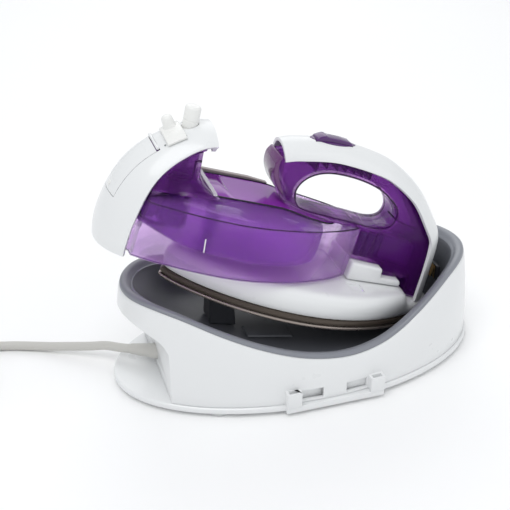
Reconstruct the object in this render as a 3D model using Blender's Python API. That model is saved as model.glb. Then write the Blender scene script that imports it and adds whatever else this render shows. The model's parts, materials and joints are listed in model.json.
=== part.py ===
"""Cordless steam iron resting in its charging stand.

Lengths in this file are millimetres and become metres in solid(). The stand is modelled upright on
the ground plane, with the iron's nose towards -X. The iron is modelled in its own frame, with its
soleplate flat on z = 0, and hangs on an empty that leans it back into the cradle.
"""
import math

import bmesh
import bpy
from mathutils import Matrix, Vector

MM = 0.001
GAP = 0.35                       # air left between neighbouring pieces

# Driving dimensions of the stand
BASE_A, BASE_B = 145.0, 77.6     # half length and half width of the base plate
BASE_BOTTOM, BASE_TOP = 3.0, 8.0
FOOT_X, FOOT_Y, FOOT_R = 78.7, 60.0, 8.0
WALL = 2.5
WALL_BOTTOM_A, WALL_BOTTOM_B = 143.0, 75.8
WALL_TOP_A, WALL_TOP_B = 136.5, 71.0
RECESS_X = -112.0                # upright wall of the undercut that the cord leaves from
CORD_R = 3.5
CORD_EXIT = (-110.7, 3.0, 20.3)  # middle of the hole in the recess wall
COIL_CENTRE = (-290.0, 33.6)
COIL_MIDDLE_R = 41.5
COIL_HALF = (10.8, 7.1)          # half width and half height of the wound ring
TURN_PITCH = 7.1                 # between neighbouring turns

# Driving dimensions of the iron
LEAN = math.radians(19.0)
IRON_X, IRON_Z = -0.3, 52.8      # where the middle of the soleplate's underside rests
SOLE_HALF, SOLE_W = 113.5, 51.0
SOLE_T = 2.4
CASTING_TOP = 7.3
SKIRT_BOTTOM = 7.8
TANK_BOTTOM = 30.3
TANK_WALL = 2.0
COVER_T = 2.5

ORIGIN_X = 3.5                   # brings the middle of the object's length to x = 0

WHITE = (0.86, 0.87, 0.86)
PURPLE = (0.28, 0.05, 0.45)
MAGENTA = (0.42, 0.06, 0.45)
SLATE = (0.20, 0.21, 0.24)
DARK = (0.05, 0.05, 0.06)
RUBBER = (0.62, 0.63, 0.63)
SOLE_GREY = (0.52, 0.47, 0.45)
CAST_BROWN = (0.12, 0.10, 0.09)
BRASS = (0.75, 0.58, 0.30)
STEEL = (0.65, 0.66, 0.68)
CORD_GREY = (0.62, 0.61, 0.58)


def clear_scene():
    for item in list(bpy.data.objects):
        bpy.data.objects.remove(item, do_unlink=True)


def material(colour, roughness, metallic):
    mat = bpy.data.materials.new("finish")
    mat.use_nodes = True
    shader = mat.node_tree.nodes["Principled BSDF"]
    shader.inputs["Base Color"].default_value = (*colour, 1.0)
    shader.inputs["Roughness"].default_value = roughness
    shader.inputs["Metallic"].default_value = metallic
    return mat


def solid(name, mesh_data, colour=WHITE, frame=None, origin=(0, 0, 0), roughness=0.35, metallic=0.0):
    """Makes the bmesh, drawn in millimetres in its frame, an object whose origin is at origin."""
    bmesh.ops.remove_doubles(mesh_data, verts=mesh_data.verts, dist=1e-4)
    bmesh.ops.recalc_face_normals(mesh_data, faces=mesh_data.faces)
    place = Vector(origin)
    for vert in mesh_data.verts:
        vert.co = (vert.co - place) * MM
    mesh = bpy.data.meshes.new(name)
    mesh_data.to_mesh(mesh)
    mesh_data.free()
    mesh.shade_smooth()
    mesh.set_sharp_from_angle(angle=math.radians(35))
    mesh.materials.append(material(colour, roughness, metallic))
    item = bpy.data.objects.new(name, mesh)
    bpy.context.collection.objects.link(item)
    item.parent = frame
    item.location = place * MM
    return item


def boolean(item, tool, operation="DIFFERENCE"):
    """Cuts or joins with tool, which is only a guide from then on."""
    modifier = item.modifiers.new(operation.lower(), "BOOLEAN")
    modifier.operation = operation
    modifier.object = tool
    tool.hide_render = True
    tool.display_type = "WIRE"


def bevel(item, width, segments=2):
    modifier = item.modifiers.new("rounding", "BEVEL")
    modifier.width = width * MM
    modifier.segments = segments
    modifier.limit_method = "ANGLE"
    modifier.angle_limit = math.radians(40)


# ---------------------------------------------------------------- shapes

def fill(data, loop, seam):
    """Fills a loop with strips between mirrored points; seam is 1 where loop[0] is its own mirror."""
    half = len(loop) // 2 + seam
    left = loop[:half]
    right = [loop[(seam - 1 - i) % len(loop)] for i in range(half)]
    for i in range(half - 1):
        corners = dict.fromkeys((left[i], left[i + 1], right[i + 1], right[i]))
        data.faces.new(list(corners))


def loft(rings, seam=None):
    """Closed skin over rings of equal length, with the first and the last ring filled."""
    data = bmesh.new()
    loops = [[data.verts.new(point) for point in ring] for ring in rings]
    count = len(loops[0])
    for low, high in zip(loops, loops[1:]):
        for i in range(count):
            j = (i + 1) % count
            data.faces.new((low[i], low[j], high[j], high[i]))
    for end in (loops[0], loops[-1]):
        if seam is None:
            data.faces.new(end)
        else:
            fill(data, end, seam)
    return data


def merge(*parts):
    """One bmesh that holds several, for a cutter with many pieces."""
    whole = bmesh.new()
    for part in parts:
        carrier = bpy.data.meshes.new("carrier")
        part.to_mesh(carrier)
        part.free()
        whole.from_mesh(carrier)
        bpy.data.meshes.remove(carrier)
    return whole


def circle(radius, z, count=24, centre=(0, 0)):
    turn = [2 * math.pi * i / count for i in range(count)]
    return [(centre[0] + radius * math.cos(t), centre[1] + radius * math.sin(t), z) for t in turn]


def post(profile, centre=(0, 0), count=24):
    """Upright turned solid from (radius, z) pairs."""
    return loft([circle(radius, z, count, centre) for radius, z in profile])


def aim(data, start, direction):
    """Moves a solid drawn upright at the origin to start, with its +Z along direction."""
    turn = Vector((0, 0, 1)).rotation_difference(Vector(direction))
    data.transform(Matrix.Translation(Vector(start)) @ turn.to_matrix().to_4x4())
    return data


def box(low, high):
    x0, y0, z0 = low
    x1, y1, z1 = high
    return loft([[(x0, y0, z), (x1, y0, z), (x1, y1, z), (x0, y1, z)] for z in (z0, z1)])


def smooth(points, steps):
    """Catmull-Rom curve through the points, ends included."""
    dots = [Vector(p) for p in points]
    dots = [2 * dots[0] - dots[1]] + dots + [2 * dots[-1] - dots[-2]]
    line = []
    for a, b, c, d in zip(dots, dots[1:], dots[2:], dots[3:]):
        for k in range(steps):
            t = k / steps
            line.append(0.5 * (2 * b + (c - a) * t + (2 * a - 5 * b + 4 * c - d) * t * t
                               + (3 * b - a - 3 * c + d) * t ** 3))
    line.append(dots[-2])
    return line


def level(x, table):
    """Height at x of the smooth line through (x, height) points."""
    x = min(max(x, table[0][0]), table[-1][0])
    last = len(table) - 1
    slopes = []
    for i in range(last + 1):
        low, high = table[max(i - 1, 0)], table[min(i + 1, last)]
        slopes.append((high[1] - low[1]) / (high[0] - low[0]))
    i = next(k for k in range(last) if x <= table[k + 1][0])
    (x0, z0), (x1, z1) = table[i], table[i + 1]
    span = x1 - x0
    t = (x - x0) / span
    return (z0 * (2 * t ** 3 - 3 * t * t + 1) + z1 * (3 * t * t - 2 * t ** 3)
            + span * (slopes[i] * (t ** 3 - 2 * t * t + t) + slopes[i + 1] * (t ** 3 - t * t)))


def side_plate(outline, half_width):
    """Solid with the outline of (x, z) points, from -half_width to +half_width in y."""
    return loft([[(x, y, z) for x, z in outline] for y in (-half_width, half_width)])


def shield_ring(crown, normal, half_width, sag, outside, thickness, across):
    """Section of a bowed band: an arc through the crown, outside mm further out."""
    radius = (half_width ** 2 + sag ** 2) / (2 * sag)
    opening = math.asin(min(1.0, half_width / radius))
    if sag > half_width:
        opening = math.pi - opening
    ring = []
    for shell, order in ((outside, 1), (outside - thickness, -1)):
        for i in range(across + 1):
            turn = opening * (2 * i / across - 1) * order
            reach = radius + shell
            ring.append(crown + normal * (reach * math.cos(turn) - radius)
                        + Vector((0, reach * math.sin(turn), 0)))
    return ring


def stations(path, steps):
    """Points and outward normals along a crown line of (x, z, half width, sag) points."""
    line = smooth([Vector((x, z, w, s)) for x, z, w, s in path], steps)
    result = []
    for i, dot in enumerate(line):
        ahead = line[min(i + 1, len(line) - 1)] - line[max(i - 1, 0)]
        normal = Vector((-ahead[1], 0, ahead[0])).normalized()
        result.append((Vector((dot[0], 0, dot[1])), normal, dot[2], dot[3]))
    return result


def shield(path, steps=2, outside=0.0, thickness=COVER_T, across=8):
    return loft([shield_ring(*station, outside, thickness, across) for station in stations(path, steps)],
                seam=0)


# ---------------------------------------------------------------- stand

RIM = [(-137, 83), (-120, 82), (-100, 76.5), (-75, 65), (-50, 54), (-20, 43.5), (8, 38.2), (26, 38),
       (45, 41.5), (60, 47.5), (78, 57.5), (92, 66), (105, 73), (120, 77), (137, 77.5)]
FLOOR = [(-137, 71), (-118, 67.5), (-105, 58), (-90, 49), (-20, 32), (40, 22), (85, 14.5), (110, 11.5),
         (137, 11.5)]
OVAL_COUNT = 56


def oval(a, b, height):
    """Ellipse whose height is a number or a function of x."""
    ring = []
    for i in range(OVAL_COUNT):
        turn = 2 * math.pi * i / OVAL_COUNT
        x, y = a * math.cos(turn), b * math.sin(turn)
        ring.append((x, y, height(x) if callable(height) else height))
    return ring


def wall_ring(rise, inset, lift=0.0):
    """Ring of the tub's wall: rise 0 at the bottom and 1 at the rim."""
    bulge = 1.2 * math.sin(math.pi * min(rise, 1.0))
    a = WALL_BOTTOM_A + (WALL_TOP_A - WALL_BOTTOM_A) * rise + bulge - inset
    b = WALL_BOTTOM_B + (WALL_TOP_B - WALL_BOTTOM_B) * rise + bulge - inset
    low = BASE_TOP + GAP
    return oval(a, b, lambda x: low + (level(x, RIM) - low) * rise + lift)


def recess_outline(inset):
    """Side view of the undercut: upright wall, then the soffit that rises to the overhang."""
    x = RECESS_X + inset
    soffit = smooth([(x, 49 + inset), (x - 4, 56.5 + inset), (x - 12, 62 + inset), (x - 26, 68.5 + inset),
                     (-160, 76 + inset)], 3)
    return [(-160, -20), (x, -20)] + [(p.x, p.y) for p in (Vector(q) for q in soffit)]


def base_plate():
    rings = [oval(BASE_A - 1.5, BASE_B - 1.5, BASE_BOTTOM), oval(BASE_A, BASE_B, BASE_BOTTOM + 1.2),
             oval(BASE_A, BASE_B, BASE_TOP - 1.8), oval(BASE_A - 1.2, BASE_B - 1.2, BASE_TOP)]
    plate = solid("base_plate", loft(rings, seam=1))
    flanges = [box((RAIL_X[0], side * 70 - 8.6, BASE_BOTTOM), (RAIL_X[1], side * 70 + 8.6, BASE_TOP))
               for side in (-1, 1)]
    rail = solid("rail_flange", merge(*flanges))
    boolean(plate, rail, "UNION")
    holes = [post([(3.7, BASE_BOTTOM - 2), (3.7, BASE_BOTTOM + 2.4)], spot, 16) for spot in SCREW_SPOTS]
    shanks = [post([(1.9, BASE_BOTTOM - 2), (1.9, BASE_TOP + 2)], spot, 12) for spot in SCREW_SPOTS]
    for name, cutters in (("screw_heads", holes), ("screw_shanks", shanks)):
        boolean(plate, solid(name, merge(*cutters)))


RAIL_X = (-34.0, 42.0)
SCREW_SPOTS = [(-64, -58.5), (64, -58.5), (-64, 58.5), (64, 58.5)]
BOSS_TOP = 20.0
POCKETS = ((-34.0, -23.0), (31.0, 42.0))
WINDOWS = ((-21.5, -5.0), (13.0, 29.5))
POCKET_TOP = 20.0


def stand_housing():
    outer = [wall_ring(rise, 0.0) for rise in (0.0, 0.33, 0.66, 0.975)]
    outer.append(wall_ring(1.0, 1.0))
    tub = solid("stand_housing", loft(outer, seam=1))
    boolean(tub, solid("recess", side_plate(recess_outline(0.0), 90)))
    inner = [wall_ring(0.0, WALL, -3.0)] + [wall_ring(rise, WALL) for rise in (0.02, 0.33, 0.66)]
    inner.append(wall_ring(1.0, WALL, 4.0))
    cavity = solid("cavity", loft(inner, seam=1))
    boolean(cavity, solid("recess_skin", side_plate(recess_outline(WALL), 95)))
    boolean(tub, cavity)
    low = BASE_TOP + GAP
    bosses = [post([(5.2, low), (5.2, BOSS_TOP)], (x, y * 1.04), 16) for x, y in SCREW_SPOTS]
    boolean(tub, solid("bosses", merge(*bosses)), "UNION")
    pockets = []
    for side in (-1, 1):
        for x0, x1 in POCKETS:
            pockets.append(box((x0, side * 74.3 - 5, low), (x1, side * 74.3 + 5, POCKET_TOP)))
    boolean(tub, solid("pockets", merge(*pockets)), "UNION")
    slots = [post([(1.7, low - 2), (1.7, BOSS_TOP - 2)], spot, 12) for spot in SCREW_SPOTS]
    for side in (-1, 1):
        for x0, x1 in POCKETS:
            middle = side * 75.9
            slots.append(box((x0 + 1.8, middle - 1.8, low + 2), (x1 - 1.8, middle + 1.8, POCKET_TOP + 8)))
        for x0, x1 in WINDOWS:
            slots.append(box((x0, side * 74.5 - 4, low + 1.6), (x1, side * 74.5 + 4, low + 10)))
    boolean(tub, solid("slots", merge(*slots)))
    exit_hole = aim(post([(6.4, -9), (6.4, 9)]), CORD_EXIT, GLAND_AXIS)
    boolean(tub, solid("cord_exit", exit_hole))


def cradle_liner():
    def blend(share, offset):
        return lambda x: level(x, FLOOR) + (level(x, RIM) - level(x, FLOOR)) * share + offset

    lip = WALL_TOP_A - 0.8, WALL_TOP_B - 0.8
    top = [oval(50, 20, blend(0, 0)), oval(80, 32, blend(0, 0)), oval(107, 43, blend(0, 0.5)),
           oval(114, 49, blend(0.16, 0)),
           oval(119.5, 54.5, blend(0.5, 0)), oval(127.5, 62.3, blend(1, -0.5)), oval(131, 65.6,
                                                                                     blend(1, 2.6)),
           oval(*lip, blend(1, 2.4))]
    under = [oval(*lip, blend(1, 0.3)), oval(132.3, 66.8, blend(1, 0.3)), oval(130.2, 65.0, blend(1, -3.0)),
             oval(122.1, 57.1, blend(0.48, 0)), oval(116, 51, blend(0.12, -0.6)),
             oval(108.5, 44.6, blend(0, -2.0)), oval(80, 32, blend(0, -2.4)), oval(50, 20, blend(0, -2.4))]
    solid("cradle_liner", loft(top + under, seam=1), SLATE)


def leaning_pad(name, centre, half, foot):
    """Support from the cradle's floor to just under the leaning soleplate."""
    def sole_height(x):
        return IRON_Z - (x - IRON_X) * math.tan(LEAN) - 0.5

    x, y = centre
    rings = []
    for share, height in ((1.15, None), (1.0, -2.5), (0.9, 0.0)):
        corners = [(x + share * half[0] * cx, y + share * half[1] * cy)
                   for cx, cy in ((-1, -1), (1, -1), (1, 1), (-1, 1))]
        ring = []
        for px, py in corners:
            floor = level(px, FLOOR) + foot
            ring.append((px, py, floor if height is None else sole_height(px) + height))
        rings.append(ring)
    pad = solid(name, loft(rings), RUBBER, roughness=0.7)
    bevel(pad, 1.0)


CONTACT_X = 113.6
CONTACT_Z = 58.0


def contacts():
    block = solid("contact_block", box((CONTACT_X, -11, 49), (CONTACT_X + 3.3, 11, 62)), DARK)
    bevel(block, 1.0)
    for name, y in (("left", -7), ("middle", 0), ("right", 7)):
        finger = loft([[(x, y + side * 1.8, z) for x, z in
                        ((CONTACT_X - 0.4, 50), (CONTACT_X - 1.1, 55), (CONTACT_X - 1.35, CONTACT_Z),
                         (CONTACT_X - 1.1, 60.5), (CONTACT_X - 0.4, 61.5))] for side in (-1, 1)])
        solid(f"contact_finger_{name}", finger, BRASS, roughness=0.3, metallic=1.0)


def notice_plate():
    """Raised blank plate lying on the near slope of the cradle's floor."""
    slope = (level(-10, FLOOR) - level(-50, FLOOR)) / 40
    data = loft([[(-48, -27, 0), (-12, -27, 0), (-12, -12, 0), (-48, -12, 0)],
                 [(-47, -26, 1.2), (-13, -26, 1.2), (-13, -13, 1.2), (-47, -13, 1.2)]])
    for vert in data.verts:
        vert.co.z += level(-50, FLOOR) + slope * (vert.co.x + 50) + 1.6
    solid("notice_plate", data, SLATE)


def feet_and_screws():
    for i, (sx, sy) in enumerate(((-1, -1), (1, -1), (-1, 1), (1, 1)), 1):
        top = BASE_BOTTOM - GAP
        profile = [(FOOT_R - 0.8, 0), (FOOT_R, 0.8), (FOOT_R, top)]
        solid(f"foot_{i}", post(profile, (sx * FOOT_X, sy * FOOT_Y * 0.92)), RUBBER, roughness=0.8)
        head = BASE_BOTTOM + 0.6
        screw = [(3.2, head), (3.2, head + 1.5), (1.4, head + 1.5), (1.4, BOSS_TOP - 4)]
        solid(f"base_screw_{i}", post(screw, SCREW_SPOTS[i - 1], 16), STEEL, roughness=0.3, metallic=1.0)


CORD_ROUTE = [(-146, 31.5, 13.6), (-157, 38.5, 10.6), (-172, 47.8, 7.4), (-186.5, 56.0, 4.9),
              (-200, 62.4, 3.9), (-214, 67.6, 3.7), (-232, 72.3, 3.75), (-246, 75.9, 3.85),
              (-255.8, 78.2, 3.85)]
GLAND_AXIS = (-0.80, 0.585, -0.13)
GLAND_LENGTH = 31.0


def cord_parts():
    axis = Vector(GLAND_AXIS).normalized()
    start = Vector(CORD_EXIT) - axis * 8.5
    profile = [(7.6, 0), (7.6, 1.4), (5.9, 1.4), (5.9, 12)]
    profile += [(5.7 - 0.09 * k, 12 + k) for k in (2, 6, 10, 15)]
    profile += [(4.2, GLAND_LENGTH - 1.5), (3.9, GLAND_LENGTH)]
    solid("cord_gland", aim(post(profile), start, axis), CORD_GREY, roughness=0.6)
    first = start + axis * (GLAND_LENGTH + GAP)
    tube("mains_cord", [first, first + axis * 8, *CORD_ROUTE], CORD_R, 4)
    low, high = GAP, GAP + 2 * COIL_HALF[1]
    r0, r1 = COIL_MIDDLE_R - COIL_HALF[0], COIL_MIDDLE_R + COIL_HALF[0]
    section = [(r0, low + 2), (r0 + 2, low), (r1 - 2, low), (r1, low + 2), (r1, high - 2), (r1 - 2, high),
               (r0 + 2, high), (r0, high - 2)]
    solid("cord_coil", ring_solid(section, COIL_CENTRE), CORD_GREY, roughness=0.6)


def ring_solid(section, centre, count=40):
    """Closed ring turned about an upright axis."""
    data = bmesh.new()
    turns = [2 * math.pi * i / count for i in range(count)]
    loops = [[data.verts.new((centre[0] + r * math.cos(t), centre[1] + r * math.sin(t), z)) for r,
              z in section]
             for t in turns]
    size = len(section)
    for i in range(count):
        low, high = loops[i], loops[(i + 1) % count]
        for k in range(size):
            data.faces.new((low[k], low[(k + 1) % size], high[(k + 1) % size], high[k]))
    return data


def tube(name, route, radius, steps, colour=CORD_GREY, frame=None, resolution=3):
    """Round tube along the smooth curve through the route's points."""
    curve = bpy.data.curves.new(name, "CURVE")
    curve.dimensions = "3D"
    curve.bevel_depth = radius * MM
    curve.bevel_resolution = resolution
    curve.use_fill_caps = True
    line = smooth(route, steps)
    spline = curve.splines.new("POLY")
    spline.points.add(len(line) - 1)
    for point, place in zip(spline.points, line):
        point.co = (*(place * MM), 1.0)
    curve.materials.append(material(colour, 0.55, 0.0))
    item = bpy.data.objects.new(name, curve)
    bpy.context.collection.objects.link(item)
    item.parent = frame
    return item


def plug():
    leave = math.radians(200)
    along = Vector((-math.sin(leave), math.cos(leave), 0))
    outer_turn = COIL_MIDDLE_R + TURN_PITCH
    ring_edge = outer_turn * Vector((math.cos(leave), math.sin(leave), 0))
    start = Vector((*COIL_CENTRE, 11.4)) + ring_edge + along * 29.5
    profile = [(4.0, 0.0), (4.6, 1.0), (5.0, 16.0), (9.0, 22.0), (11.0, 26.0), (11.0, 42.0), (9.6, 45.0)]
    body = aim(post(profile, count=20), start, along)
    solid("plug_body", body, CORD_GREY, roughness=0.6)
    side = Vector((-along.y, along.x, 0))
    for name, shift in (("a", -5.0), ("b", 5.0)):
        root = start + along * (45.0 + GAP) + side * shift
        pin = aim(post([(1.5, 0), (1.5, 15), (0.9, 16.5)], count=12), root, along)
        solid(f"plug_pin_{name}", pin, BRASS, roughness=0.25, metallic=1.0)


# ---------------------------------------------------------------- iron

SOLE_COUNT = 48


def sole_ring(scale, z, limit=None):
    """Pointed oval of the soleplate, with the same outline for every level."""
    ring = []
    for i in range(SOLE_COUNT):
        turn = 2 * math.pi * i / SOLE_COUNT
        u = math.cos(turn)
        width = SOLE_W * max(0.0, 1 - abs(u) ** 1.93) ** 0.74
        x = SOLE_HALF * u * (scale + (1 - scale) * 0.4)
        y = math.copysign(width, math.sin(turn)) * scale if 0 < i != SOLE_COUNT // 2 else 0.0
        ring.append((x, y, z if limit is None else limit(x, z)))
    return ring


def soleplate(frame):
    rings = [sole_ring(0.985, 0.0), sole_ring(1.0, 0.8), sole_ring(1.0, SOLE_T)]
    plate = solid("soleplate", loft(rings, seam=1), SOLE_GREY, frame, roughness=0.3, metallic=0.6)
    vents = []
    for x, y in [(-88, 0)] + [(-74 + 15 * k, s * (12 + 4.5 * k)) for k in range(5) for s in (-1, 1)]:
        vents.append(post([(1.7, -2), (1.7, SOLE_T + 2)], (x, y), 8))
    boolean(plate, solid("vents", merge(*vents), frame=frame))


def heater_casting(frame):
    rings = [sole_ring(0.965, SOLE_T + GAP), sole_ring(0.965, 3.7), sole_ring(0.99, 4.0),
             sole_ring(0.995, 5.5), sole_ring(0.985, CASTING_TOP)]
    solid("heater_casting", loft(rings, seam=1), CAST_BROWN, frame, roughness=0.4)
    disc = post([(9, CASTING_TOP + GAP), (9, 13), (5, 13), (5, 16)], (-20, 0))
    solid("thermostat", disc, STEEL, frame, roughness=0.4, metallic=1.0)


DECK_STEP = [(-120, 27.2), (70, 27.2), (76, 26.0), (81, 18.0), (84, 17.4), (120, 17.0)]
FEED_X = -88.0


def skirt_top(x):
    return level(x, DECK_STEP)


def skirt_ring(scale, share, inset=0.0, drop=0.0):
    def height(x, _z):
        return SKIRT_BOTTOM + (skirt_top(x) - SKIRT_BOTTOM) * share - drop

    ring = sole_ring(scale, 0.0, height)
    pinned = []
    for x, y, z in ring:
        shrink = max(0.0, 1 - inset / max(abs(y), inset + 0.4)) if y else 1.0
        pinned.append((x * (1 - inset / 90), y * shrink, z))
    return pinned


def lower_skirt(frame):
    outer = [(0.955, 0.0), (0.99, 0.25), (1.0, 0.6), (0.965, 0.86), (0.90, 0.97), (0.80, 1.0)]
    inner = [(scale, share) for scale, share in outer[1:-1]]
    rings = [skirt_ring(scale, share, 2.2, 2.0) for scale, share in reversed(inner)]
    rings.append(skirt_ring(0.955, 0.0, 2.2))
    rings += [skirt_ring(scale, share) for scale, share in outer]
    skirt = solid("lower_skirt", loft(rings, seam=1), WHITE, frame)
    boolean(skirt, solid("feed_hole", post([(4.6, 15), (4.6, 35)], (FEED_X, 0), 16), frame=frame))


def heel_block(frame):
    outline = [(24.5, 27.8), (24.5, 43.0), (52.4, 41.0), (53.4, 33.2), (71.5, 33.0), (72.5, 27.9)]
    block = solid("heel_block", side_plate(outline, 21), WHITE, frame)
    bevel(block, 2.0, 3)


HULL_SIDE = [(-165.6, 6), (-163.6, 14), (-159.6, 22), (-155.8, 26.5), (-151.2, 30.3), (-150.8, 36.3),
             (-144, 39.5), (-133, 43), (-122, 46), (-108, 49), (-90, 51.5), (-74, 52), (-59, 50.5), (-42,
                                                                                                     47), (-24, 42), (-8, 35.5), (8, 27.8), (22, 18.5)]
DECK = [(-170, 75.5), (-48, 75.5), (-30, 72.5), (-6, 67.3), (10, 66.0), (30, 65.6)]
HULL_LEVELS = [(0.5, 0.965, 1.0), (0.945, 0.905, 4.2), (1.0, 0.875, 4.8)]
HULL_RIM = 68.5


def hull_ring(z, width, inset=0.0, lean=0.0, top_share=None):
    half = []
    for x, y in HULL_SIDE:
        shift = inset * (1 - 2 * (x + 165.6) / 187.6) + lean * max(0.0, (-100 - x) / 65)
        high = z if top_share is None else z + (level(x, DECK) - inset - z) * top_share
        half.append((x + shift, max(y * width - inset, 0.6), high))
    return half + [(x, -y, high) for x, y, high in reversed(half)]


def hull_rings(inset):
    """Rings of the tank from its open bottom edge to the deck, inset mm inside the outer face."""
    rings = [hull_ring(TANK_BOTTOM, 1.0, inset)]
    rings += [hull_ring(TANK_BOTTOM + (HULL_RIM - TANK_BOTTOM) * share, width, inset, lean)
              for share, width, lean in HULL_LEVELS]
    rings.append(hull_ring(HULL_RIM, 0.64, inset, 7.0, 0.6))
    rings.append(hull_ring(HULL_RIM, 0.41, inset, 9.0, 1.0))
    return rings


NOSE_PATH = [(-168.5, 23.5, 32, 15), (-170.3, 34, 33, 15.8), (-170, 47, 32.5, 16), (-168, 61, 31.5, 16),
             (-163.5, 76, 30, 15), (-156.5, 89, 28, 13.5), (-147.5, 99.5, 26, 12), (-137.5, 108, 24.5,
                                                                                    10.8),
             (-127, 115, 23.5, 9.8), (-117.5, 119.3, 22.8, 9.2), (-109.5, 121.0, 22, 9.0)]
LID_RANGE = (0.30, 0.60)
LEVER_AT = 0.72
FILL_SHARE = 0.49


def station_at(path, share):
    line = stations(path, 24)
    return line[round(share * (len(line) - 1))]


def path_frame(path, share):
    """Crown point, outward normal and arc radius part of the way along a shield's path."""
    crown, normal, half, sag = station_at(path, share)
    return crown, normal, (half ** 2 + sag ** 2) / (2 * sag)


def path_piece(path, low, high, count, outside, thickness, half_width, across=8):
    """Band that follows a shield's arc over part of its path, half_width to each side."""
    line = stations(path, 24)
    rings = []
    for k in range(count + 1):
        share = low + (high - low) * k / count
        crown, normal, half, sag = line[round(share * (len(line) - 1))]
        radius = (half ** 2 + sag ** 2) / (2 * sag)
        ring = []
        for shell, order in ((outside, 1), (outside - thickness, -1)):
            for i in range(across + 1):
                turn = math.asin(half_width / radius) * (2 * i / across - 1) * order
                reach = radius + shell
                ring.append(crown + normal * (reach * math.cos(turn) - radius)
                            + Vector((0, reach * math.sin(turn), 0)))
        rings.append(ring)
    return loft(rings, seam=0)


def knob_axis():
    return Vector((-0.10, 0, 0.995)).normalized()


KNOB_AT = Vector((-124.0, 0, 116.3))
KNOB_R = 5.6
KNOB_FOOT = (-119.7, 0.0)        # where the pump's line crosses the tank's deck


TOWER = [(0.455, -96, 76.6), (0.485, -103, 79.6), (0.52, -109, 84), (0.60, -113, 88.5),
         (0.70, -114.3, 94.5),
         (0.80, -114.9, 101), (0.885, -115.3, 105.5)]


def tower_ring(share, rear_x, rear_z, inset, across=9):
    """Section of the block behind the nose: an arc under the nose shell, flush sides, a flat rear."""
    crown, normal, half, sag = station_at(NOSE_PATH, share)
    radius = (half ** 2 + sag ** 2) / (2 * sag)
    edge = math.asin(half / radius)
    reach = radius - COVER_T - GAP - inset
    arc = []
    for i in range(across + 1):
        turn = edge * (2 * i / across - 1)
        arc.append(crown + normal * (reach * math.cos(turn) - radius) + Vector((0, reach * math.sin(turn),
                                                                                0)))
    side = crown + normal * (radius * math.cos(edge) - radius - 0.8 - inset)
    rear_x -= inset
    wide = half - inset
    tail = [(rear_x, 6 - wide, rear_z), (rear_x - 1.7, 1.7 - wide, rear_z), (rear_x - 6, -wide, rear_z),
            (side.x, -wide, side.z)]
    return tail + arc + [(x, -y, z) for x, y, z in reversed(tail)]


def tower_rings(inset):
    """Rings from the block's floor to its open top, inset mm inside the outer face."""
    share, x, z = TOWER[0]
    first = tower_ring(share + inset / 200, x, z + inset, inset)
    return [first] + [tower_ring(*spot, inset) for spot in TOWER[1:]]


def tank(frame):
    rings = list(reversed(hull_rings(TANK_WALL))) + hull_rings(0.0)
    shell = solid("tank_shell", loft(rings, seam=0), PURPLE, frame, roughness=0.1)
    passages = [post([(9.8, 60), (9.8, 90)], KNOB_FOOT), post([(3.2, 60), (3.2, 90)], (ROD_X, 0), 12)]
    boolean(shell, solid("deck_passages", merge(*passages), frame=frame))

    rings = tower_rings(TANK_WALL) + list(reversed(tower_rings(0.0)))
    head = solid("tank_tower", loft(rings, seam=0), PURPLE, frame, roughness=0.1)
    crown, normal, _ = path_frame(NOSE_PATH, FILL_SHARE)
    mouth = aim(post([(8.5, -9), (8.5, 6)]), crown, normal)
    boolean(head, solid("filler_mouth", mouth, frame=frame))
    lower_passages = [post([(9.8, 60), (9.8, 90)], KNOB_FOOT), post([(3.2, 60), (3.2, 90)], (ROD_X, 0), 12)]
    boolean(head, solid("tower_passages", merge(*lower_passages), frame=frame))
    stem = aim(post([(6.2, -14), (6.2, 5)]), KNOB_AT, knob_axis())
    boolean(head, solid("button_passage", stem, frame=frame))
    floor = solid("tank_floor", loft([hull_ring(z, 1.0, TANK_WALL + GAP) for z in (TANK_BOTTOM,
                                                                                   TANK_BOTTOM + 1.8)],
                                     seam=0), PURPLE, frame, roughness=0.1)
    boolean(floor, solid("floor_hole", post([(4.6, 25), (4.6, 35)], (FEED_X, 0), 16), frame=frame))


ROD_X = -138.0
ROD_TOP = 96.0
SPRING_LOW, SPRING_LENGTH = 39.3, 24.4


def water_works(frame):
    feed = post([(3.9, CASTING_TOP + GAP), (3.9, 31), (4.1, 31), (4.1, 41)], (FEED_X, 0), 16)
    solid("feed_tube", feed, DARK, frame, roughness=0.5)
    axis = knob_axis()
    base = KNOB_AT - axis * 72
    profile = [(10.5, 0), (10.5, 8), (8.5, 8), (8.5, 34), (6.0, 36), (6.0, 38)]
    body = solid("pump_body", aim(post(profile), base, axis), DARK, frame, roughness=0.4)
    bore = aim(post([(3.0, 14), (3.0, 45)], count=16), base, axis)
    boolean(body, solid("pump_bore", bore, frame=frame))
    spring = [base + axis * (SPRING_LOW + SPRING_LENGTH * k / 50) + spring_offset(axis,
                                                                                  2 * math.pi * k / 10)
              for k in range(51)]
    tube("pump_spring", spring, 0.55, 1, STEEL, frame, resolution=1)


def spring_offset(axis, turn):
    side = Vector((0, 1, 0))
    other = axis.cross(side)
    return (side * math.cos(turn) + other * math.sin(turn)) * 4.4


def nose(frame):
    band = solid("nose_shell", shield(NOSE_PATH), WHITE, frame)
    lid_hole = path_piece(NOSE_PATH, LID_RANGE[0] - 0.004, LID_RANGE[1] + HINGE_SEAM, 10, 4.0, 12.0,
                          LID_HALF + 0.6)
    boolean(band, solid("lid_hole", lid_hole, frame=frame))
    stem = aim(post([(KNOB_R + 0.4, -12), (KNOB_R + 0.4, 6)]), KNOB_AT, knob_axis())
    boolean(band, solid("knob_hole", stem, frame=frame))


LID_HALF = 13.0
HINGE_SEAM = 0.021               # share of the nose path left open above the lid for its pin


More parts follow.
